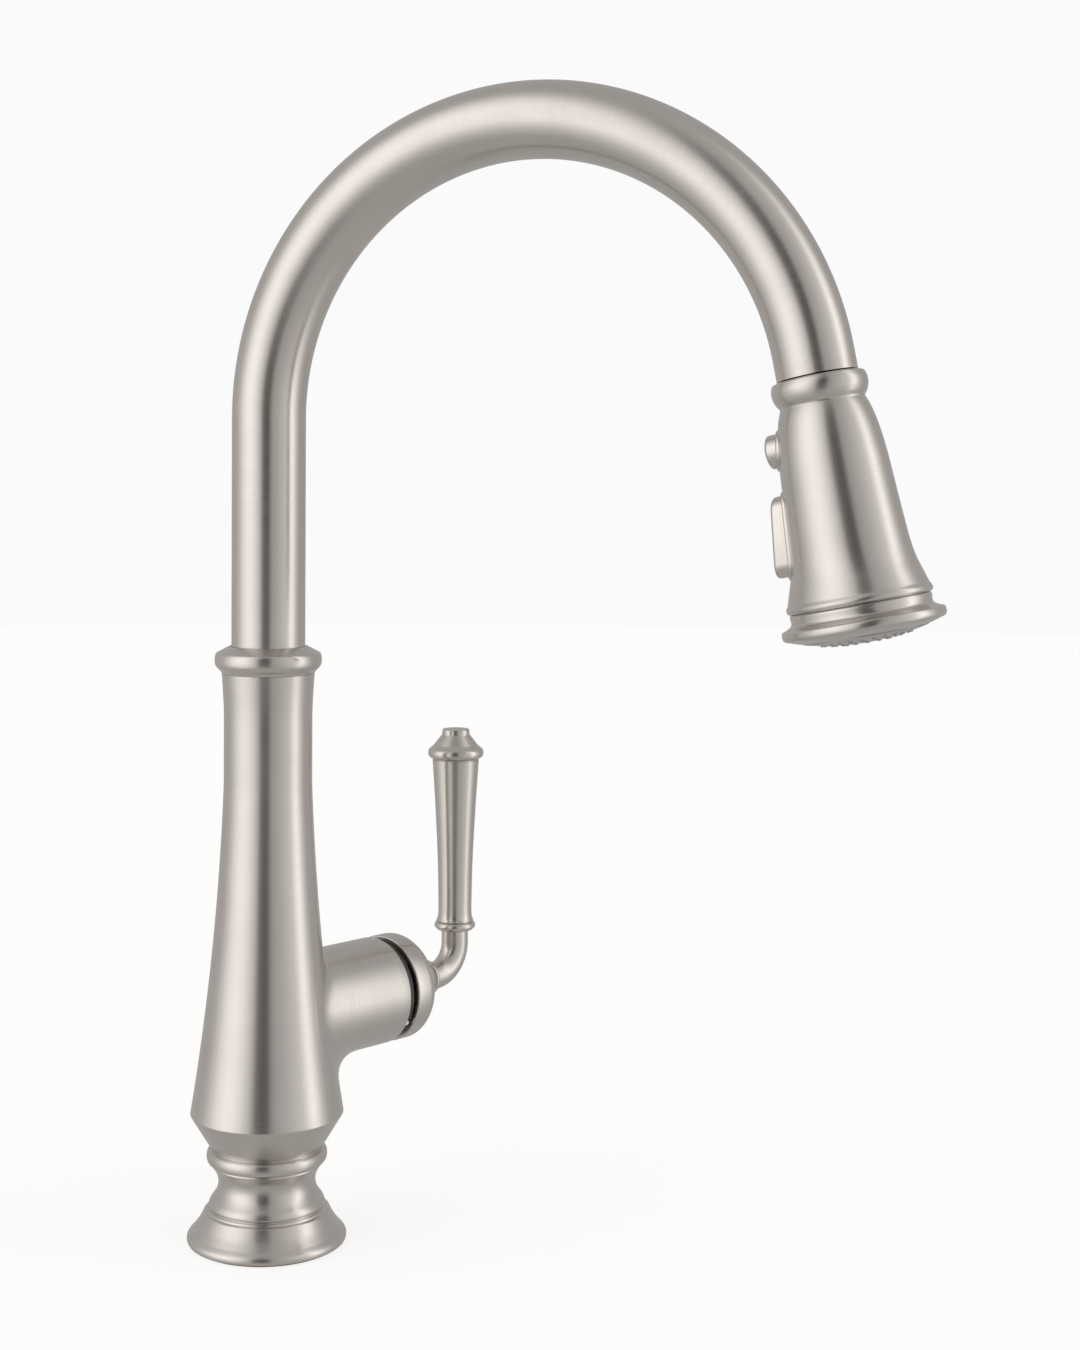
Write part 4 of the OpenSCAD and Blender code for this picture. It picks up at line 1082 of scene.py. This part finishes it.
def build_hose():
    """The spray hose inside the spout: the riser stays with the spout, and the rest follows the head."""
    hose_part("spray_hose_riser", -1)
    hose = hose_part("spray_hose_braided", 1)
    hose.parent = None
    hose.matrix_world = Matrix.Identity(4)
    top = HEAD_AT - HEAD_DOWN * 6.0
    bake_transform(hose, "spout", "spray_head", start=tuple(top * MM), end=tuple(HEAD_AT * MM))


def hose_part(name, side):
    """Half of the hose's run, on one side of a cut at the top of the arch."""
    bm = start_mesh()
    low_z = low("spray_hose").z
    faces = ring_faces(bm, HOSE_R, 0, low_z, 24)
    sweep_spout(bm, faces, 8, 60, low_z, [1.0] + [0.2] * 35)
    cut = bmesh.ops.bisect_plane(bm, geom=bm.verts[:] + bm.edges[:] + bm.faces[:], plane_co=(0, HOSE_CUT_Y, 0),
                                 plane_no=(0, side, 0), clear_outer=True)["geom_cut"]
    bmesh.ops.edgeloop_fill(bm, edges=[part for part in cut if isinstance(part, bmesh.types.BMEdge)])
    bmesh.ops.recalc_face_normals(bm, faces=bm.faces)
    return make_piece(bm, name, DECK, "spout", hose_braid(), ["spray_hose"])


# ---- Under the deck and inside ----

INSIDE = {
    "brass": (brass, ["spout_shank", "valve_manifold", "cartridge_nut", "shank", "mounting_nut", "outlet_tube"]),
    "steel": (steel, ["cartridge_stem", "rotor_pin", "cap_screw", "rocker_pin", "pause_spring", "clamp_washer",
                      "jack_screws", "hose_ferrule"]),
    "copper": (copper, ["hot_inlet", "cold_inlet"]),
    "rubber": (rubber, ["deck_gasket", "friction_ring", "port_seals", "deck_washer"]),
    "dark plastic": (dark_plastic, ["dock_insert", "spray_core", "hose_plug"]),
    "white plastic": (white_plastic, ["thrust_washer", "upper_bush", "lower_bush", "cartridge_body", "check_valve",
                                      "diverter_spool"]),
    "grey plastic": (grey_plastic, ["cartridge_rotor"]),
    "ceramic": (ceramic, ["fixed_disc", "moving_disc"]),
    "braid": (hose_braid, ["lower_hose"]),
}


def build_inside():
    """Gives every piece that the frame already shapes its own finish."""
    for look, nodes in INSIDE.values():
        for node in nodes:
            materials = frame["nodes"][node].data.materials
            materials.clear()
            materials.append(look())


# ---- Stage ----

def build_world():
    """Soft studio light: a tall light on each side, a narrow dark gap between them, a grey room behind."""
    world = bpy.data.worlds.new("studio")
    bpy.context.scene.world = world
    world.use_nodes = True
    tree = world.node_tree
    tree.nodes.clear()
    place_node = add(tree, "ShaderNodeTexCoord")
    turned_to = add(tree, "ShaderNodeMapping", {"Rotation": (0, 0, math.radians(GAP_TURN))})
    tree.links.new(place_node.outputs["Generated"], turned_to.inputs["Vector"])
    around = add(tree, "ShaderNodeTexGradient", gradient_type="RADIAL")
    tree.links.new(turned_to.outputs["Vector"], around.inputs["Vector"])
    lights = add(tree, "ShaderNodeValToRGB")
    fill_ramp(lights.color_ramp, LIGHT_ROUND)
    tree.links.new(around.outputs["Fac"], lights.inputs["Fac"])
    split = add(tree, "ShaderNodeSeparateXYZ")
    tree.links.new(place_node.outputs["Generated"], split.inputs["Vector"])
    height = add(tree, "ShaderNodeMapRange", {"From Min": -1.0, "From Max": 1.0})
    tree.links.new(split.outputs["Z"], height.inputs["Value"])
    rise = add(tree, "ShaderNodeValToRGB")
    fill_ramp(rise.color_ramp, LIGHT_RISE)
    tree.links.new(height.outputs["Result"], rise.inputs["Fac"])
    room = add(tree, "ShaderNodeMix", data_type="RGBA")
    room.inputs["A"].default_value = (*ROOM, 1)
    tree.links.new(rise.outputs["Color"], room.inputs["Factor"])
    tree.links.new(lights.outputs["Color"], room.inputs["B"])
    seen = add(tree, "ShaderNodeLightPath")
    shown = add(tree, "ShaderNodeBackground", {"Color": (1, 1, 1, 1), "Strength": studio().backdrop})
    lit = add(tree, "ShaderNodeBackground", {"Strength": studio().light})
    tree.links.new(room.outputs["Result"], lit.inputs["Color"])
    both = add(tree, "ShaderNodeMixShader")
    tree.links.new(seen.outputs["Is Camera Ray"], both.inputs["Fac"])
    tree.links.new(lit.outputs["Background"], both.inputs[1])
    tree.links.new(shown.outputs["Background"], both.inputs[2])
    out = add(tree, "ShaderNodeOutputWorld")
    tree.links.new(both.outputs["Shader"], out.inputs["Surface"])


def fill_ramp(ramp, stops):
    """Sets a ramp's stops from (position, grey or colour) pairs."""
    while len(ramp.elements) > 1:
        ramp.elements.remove(ramp.elements[-1])
    for index, (position, value) in enumerate(stops):
        element = ramp.elements[0] if index == 0 else ramp.elements.new(position)
        element.position = position
        colour = value if isinstance(value, tuple) else (value, value, value)
        element.color = (*colour, 1)


# Light round the horizon, from straight behind the object on the left, past the viewer, to behind on the right
GAP_TURN = 156.93
WARM = (1.0, 0.975, 0.955)
ROOM = (0.47, 0.455, 0.44)
LIGHT_STOPS = ((-180, 0.46), (-130, 0.50), (-108, 0.58), (-92, 0.86), (-78, 1.22), (-62, 1.44), (-48, 1.38),
               (-36, 1.14), (-26, 0.86), (-19, 0.66), (-13, 0.16), (0, 0.09), (8, 0.10), (12, 0.44), (24, 0.52),
               (36, 0.60), (48, 0.72), (64, 0.86), (72, 1.22), (80, 1.60), (88, 1.36), (98, 0.84), (112, 0.50),
               (130, 0.45), (180, 0.46))
LIGHT_ROUND = [((angle + 180) / 360, tuple(level * tint for tint in WARM)) for angle, level in LIGHT_STOPS]
LIGHT_RISE = [(0.12, 0.0), (0.26, 0.3), (0.36, 0.62), (0.45, 0.92), (0.5, 1.0), (0.68, 1.0), (0.78, 0.90),
              (0.86, 0.66), (0.92, 0.36), (0.97, 0.10), (1.0, 0.0)]


CAMERA_AT = Vector((-0.69822, -0.39045, 0.28981))
CAMERA_RIGHT = Vector((0.391878, -0.920017, 0.0))
CAMERA_UP = Vector((0.030487, 0.012986, 0.999451))
CAMERA_ROLL = 0.36
CAMERA_SHIFT = (0.028, -0.107)

# The floor's radius in metres, and the light it gives off so that it stays as pale as the backdrop
FLOOR_RADIUS = 3.0
FLOOR_GLOW = 0.77


def build_stage():
    """The pale floor, the studio light and the camera."""
    scene = bpy.context.scene
    scene.view_settings.view_transform = "Standard"
    bm = bmesh.new()
    bmesh.ops.create_circle(bm, cap_ends=True, radius=FLOOR_RADIUS, segments=64)
    mesh = bpy.data.meshes.new("floor")
    bm.to_mesh(mesh)
    bm.free()
    floor = bpy.data.objects.new("floor", mesh)
    scene.collection.objects.link(floor)
    pale, _, shader = new_look("pale_floor")
    shader.inputs["Base Color"].default_value = (0.35, 0.35, 0.35, 1)
    shader.inputs["Roughness"].default_value = 0.9
    shader.inputs["Specular IOR Level"].default_value = 0.0
    shader.inputs["Emission Color"].default_value = (1, 1, 1, 1)
    shader.inputs["Emission Strength"].default_value = FLOOR_GLOW
    mesh.materials.append(pale)
    floor.visible_glossy = False
    build_world()
    data = bpy.data.cameras.new("camera")
    camera = bpy.data.objects.new("camera", data)
    scene.collection.objects.link(camera)
    data.lens = studio().lens
    data.sensor_width = 36.0
    data.shift_x, data.shift_y = CAMERA_SHIFT
    back = CAMERA_RIGHT.cross(CAMERA_UP)
    turn = Matrix((CAMERA_RIGHT, CAMERA_UP, back)).transposed().to_4x4()
    roll = Matrix.Rotation(math.radians(CAMERA_ROLL), 4, "Z")
    camera.matrix_world = Matrix.Translation(CAMERA_AT) @ turn @ roll
    scene.camera = camera


# ---- Operators and panel ----

class FAUCET_OT_stage(bpy.types.Operator):
    """Make the floor, the studio light and the camera"""
    bl_idname = "faucet.stage"
    bl_label = "Stage"

    def execute(self, context):
        build_stage()
        return {"FINISHED"}


class FAUCET_OT_foot(bpy.types.Operator):
    """Turn the foot"""
    bl_idname = "faucet.foot"
    bl_label = "Foot"

    def execute(self, context):
        build_foot()
        return {"FINISHED"}


class FAUCET_OT_column(bpy.types.Operator):
    """Make the column casting with its side boss"""
    bl_idname = "faucet.column"
    bl_label = "Column"

    def execute(self, context):
        build_column()
        return {"FINISHED"}


class FAUCET_OT_collar(bpy.types.Operator):
    """Turn the swivel collar"""
    bl_idname = "faucet.collar"
    bl_label = "Swivel collar"

    def execute(self, context):
        build_collar()
        return {"FINISHED"}


class FAUCET_OT_spout(bpy.types.Operator):
    """Bend the gooseneck spout"""
    bl_idname = "faucet.spout"
    bl_label = "Spout"

    def execute(self, context):
        build_spout()
        return {"FINISHED"}


class FAUCET_OT_hose(bpy.types.Operator):
    """Lay the braided hose in the spout"""
    bl_idname = "faucet.hose"
    bl_label = "Spray hose"

    def execute(self, context):
        build_hose()
        return {"FINISHED"}


class FAUCET_OT_valve_trim(bpy.types.Operator):
    """Make the bonnet ring and its screw"""
    bl_idname = "faucet.valve_trim"
    bl_label = "Valve trim"

    def execute(self, context):
        build_valve_trim()
        return {"FINISHED"}


class FAUCET_OT_handle(bpy.types.Operator):
    """Make the handle from its cap to its finial"""
    bl_idname = "faucet.handle"
    bl_label = "Handle"

    def execute(self, context):
        build_handle()
        return {"FINISHED"}


class FAUCET_OT_spray_body(bpy.types.Operator):
    """Make the spray head's ring, shell and rim"""
    bl_idname = "faucet.spray_body"
    bl_label = "Spray head"

    def execute(self, context):
        build_spray_body()
        return {"FINISHED"}


class FAUCET_OT_buttons(bpy.types.Operator):
    """Make the pause button, the mode rocker and their frames"""
    bl_idname = "faucet.buttons"
    bl_label = "Buttons"

    def execute(self, context):
        build_buttons()
        return {"FINISHED"}


class FAUCET_OT_face(bpy.types.Operator):
    """Make the spray face, its nozzles and the aerator"""
    bl_idname = "faucet.face"
    bl_label = "Spray face"

    def execute(self, context):
        build_face()
        return {"FINISHED"}


class FAUCET_OT_inside(bpy.types.Operator):
    """Give the inner and under-deck pieces their finishes"""
    bl_idname = "faucet.inside"
    bl_label = "Inner pieces"

    def execute(self, context):
        build_inside()
        return {"FINISHED"}


class FAUCET_PT_pieces(bpy.types.Panel):
    """Lists the faucet's settings and pieces"""
    bl_idname = "FAUCET_PT_pieces"
    bl_label = "Faucet"
    bl_space_type = "VIEW_3D"
    bl_region_type = "UI"
    bl_category = "Faucet"

    def draw(self, context):
        for group in (context.scene.faucet_finish, context.scene.faucet_shape, context.scene.faucet_studio):
            box = self.layout.box()
            for name in group.bl_rna.properties.keys():
                if name not in ("rna_type", "name"):
                    box.prop(group, name)
        for operator in OPERATORS:
            self.layout.operator(operator.bl_idname)


GROUPS = {"faucet_finish": FaucetFinish, "faucet_shape": FaucetShape, "faucet_studio": FaucetStudio}
OPERATORS = (FAUCET_OT_stage, FAUCET_OT_foot, FAUCET_OT_column, FAUCET_OT_collar, FAUCET_OT_spout, FAUCET_OT_hose,
             FAUCET_OT_valve_trim, FAUCET_OT_handle, FAUCET_OT_spray_body, FAUCET_OT_buttons, FAUCET_OT_face,
             FAUCET_OT_inside)


def register():
    """Adds the settings, the operators and the panel."""
    for cls in (*GROUPS.values(), *OPERATORS, FAUCET_PT_pieces):
        bpy.utils.register_class(cls)
    for name, group in GROUPS.items():
        setattr(bpy.types.Scene, name, PointerProperty(type=group))


def unregister():
    """Takes them away again."""
    for name in GROUPS:
        delattr(bpy.types.Scene, name)
    for cls in reversed((*GROUPS.values(), *OPERATORS, FAUCET_PT_pieces)):
        bpy.utils.unregister_class(cls)


def main():
    """Builds the whole faucet."""
    register()
    bpy.ops.faucet.stage()
    bpy.ops.faucet.foot()
    bpy.ops.faucet.column()
    bpy.ops.faucet.collar()
    bpy.ops.faucet.spout()
    bpy.ops.faucet.hose()
    bpy.ops.faucet.valve_trim()
    bpy.ops.faucet.handle()
    bpy.ops.faucet.spray_body()
    bpy.ops.faucet.buttons()
    bpy.ops.faucet.face()
    bpy.ops.faucet.inside()


if __name__ == "__main__":
    main()
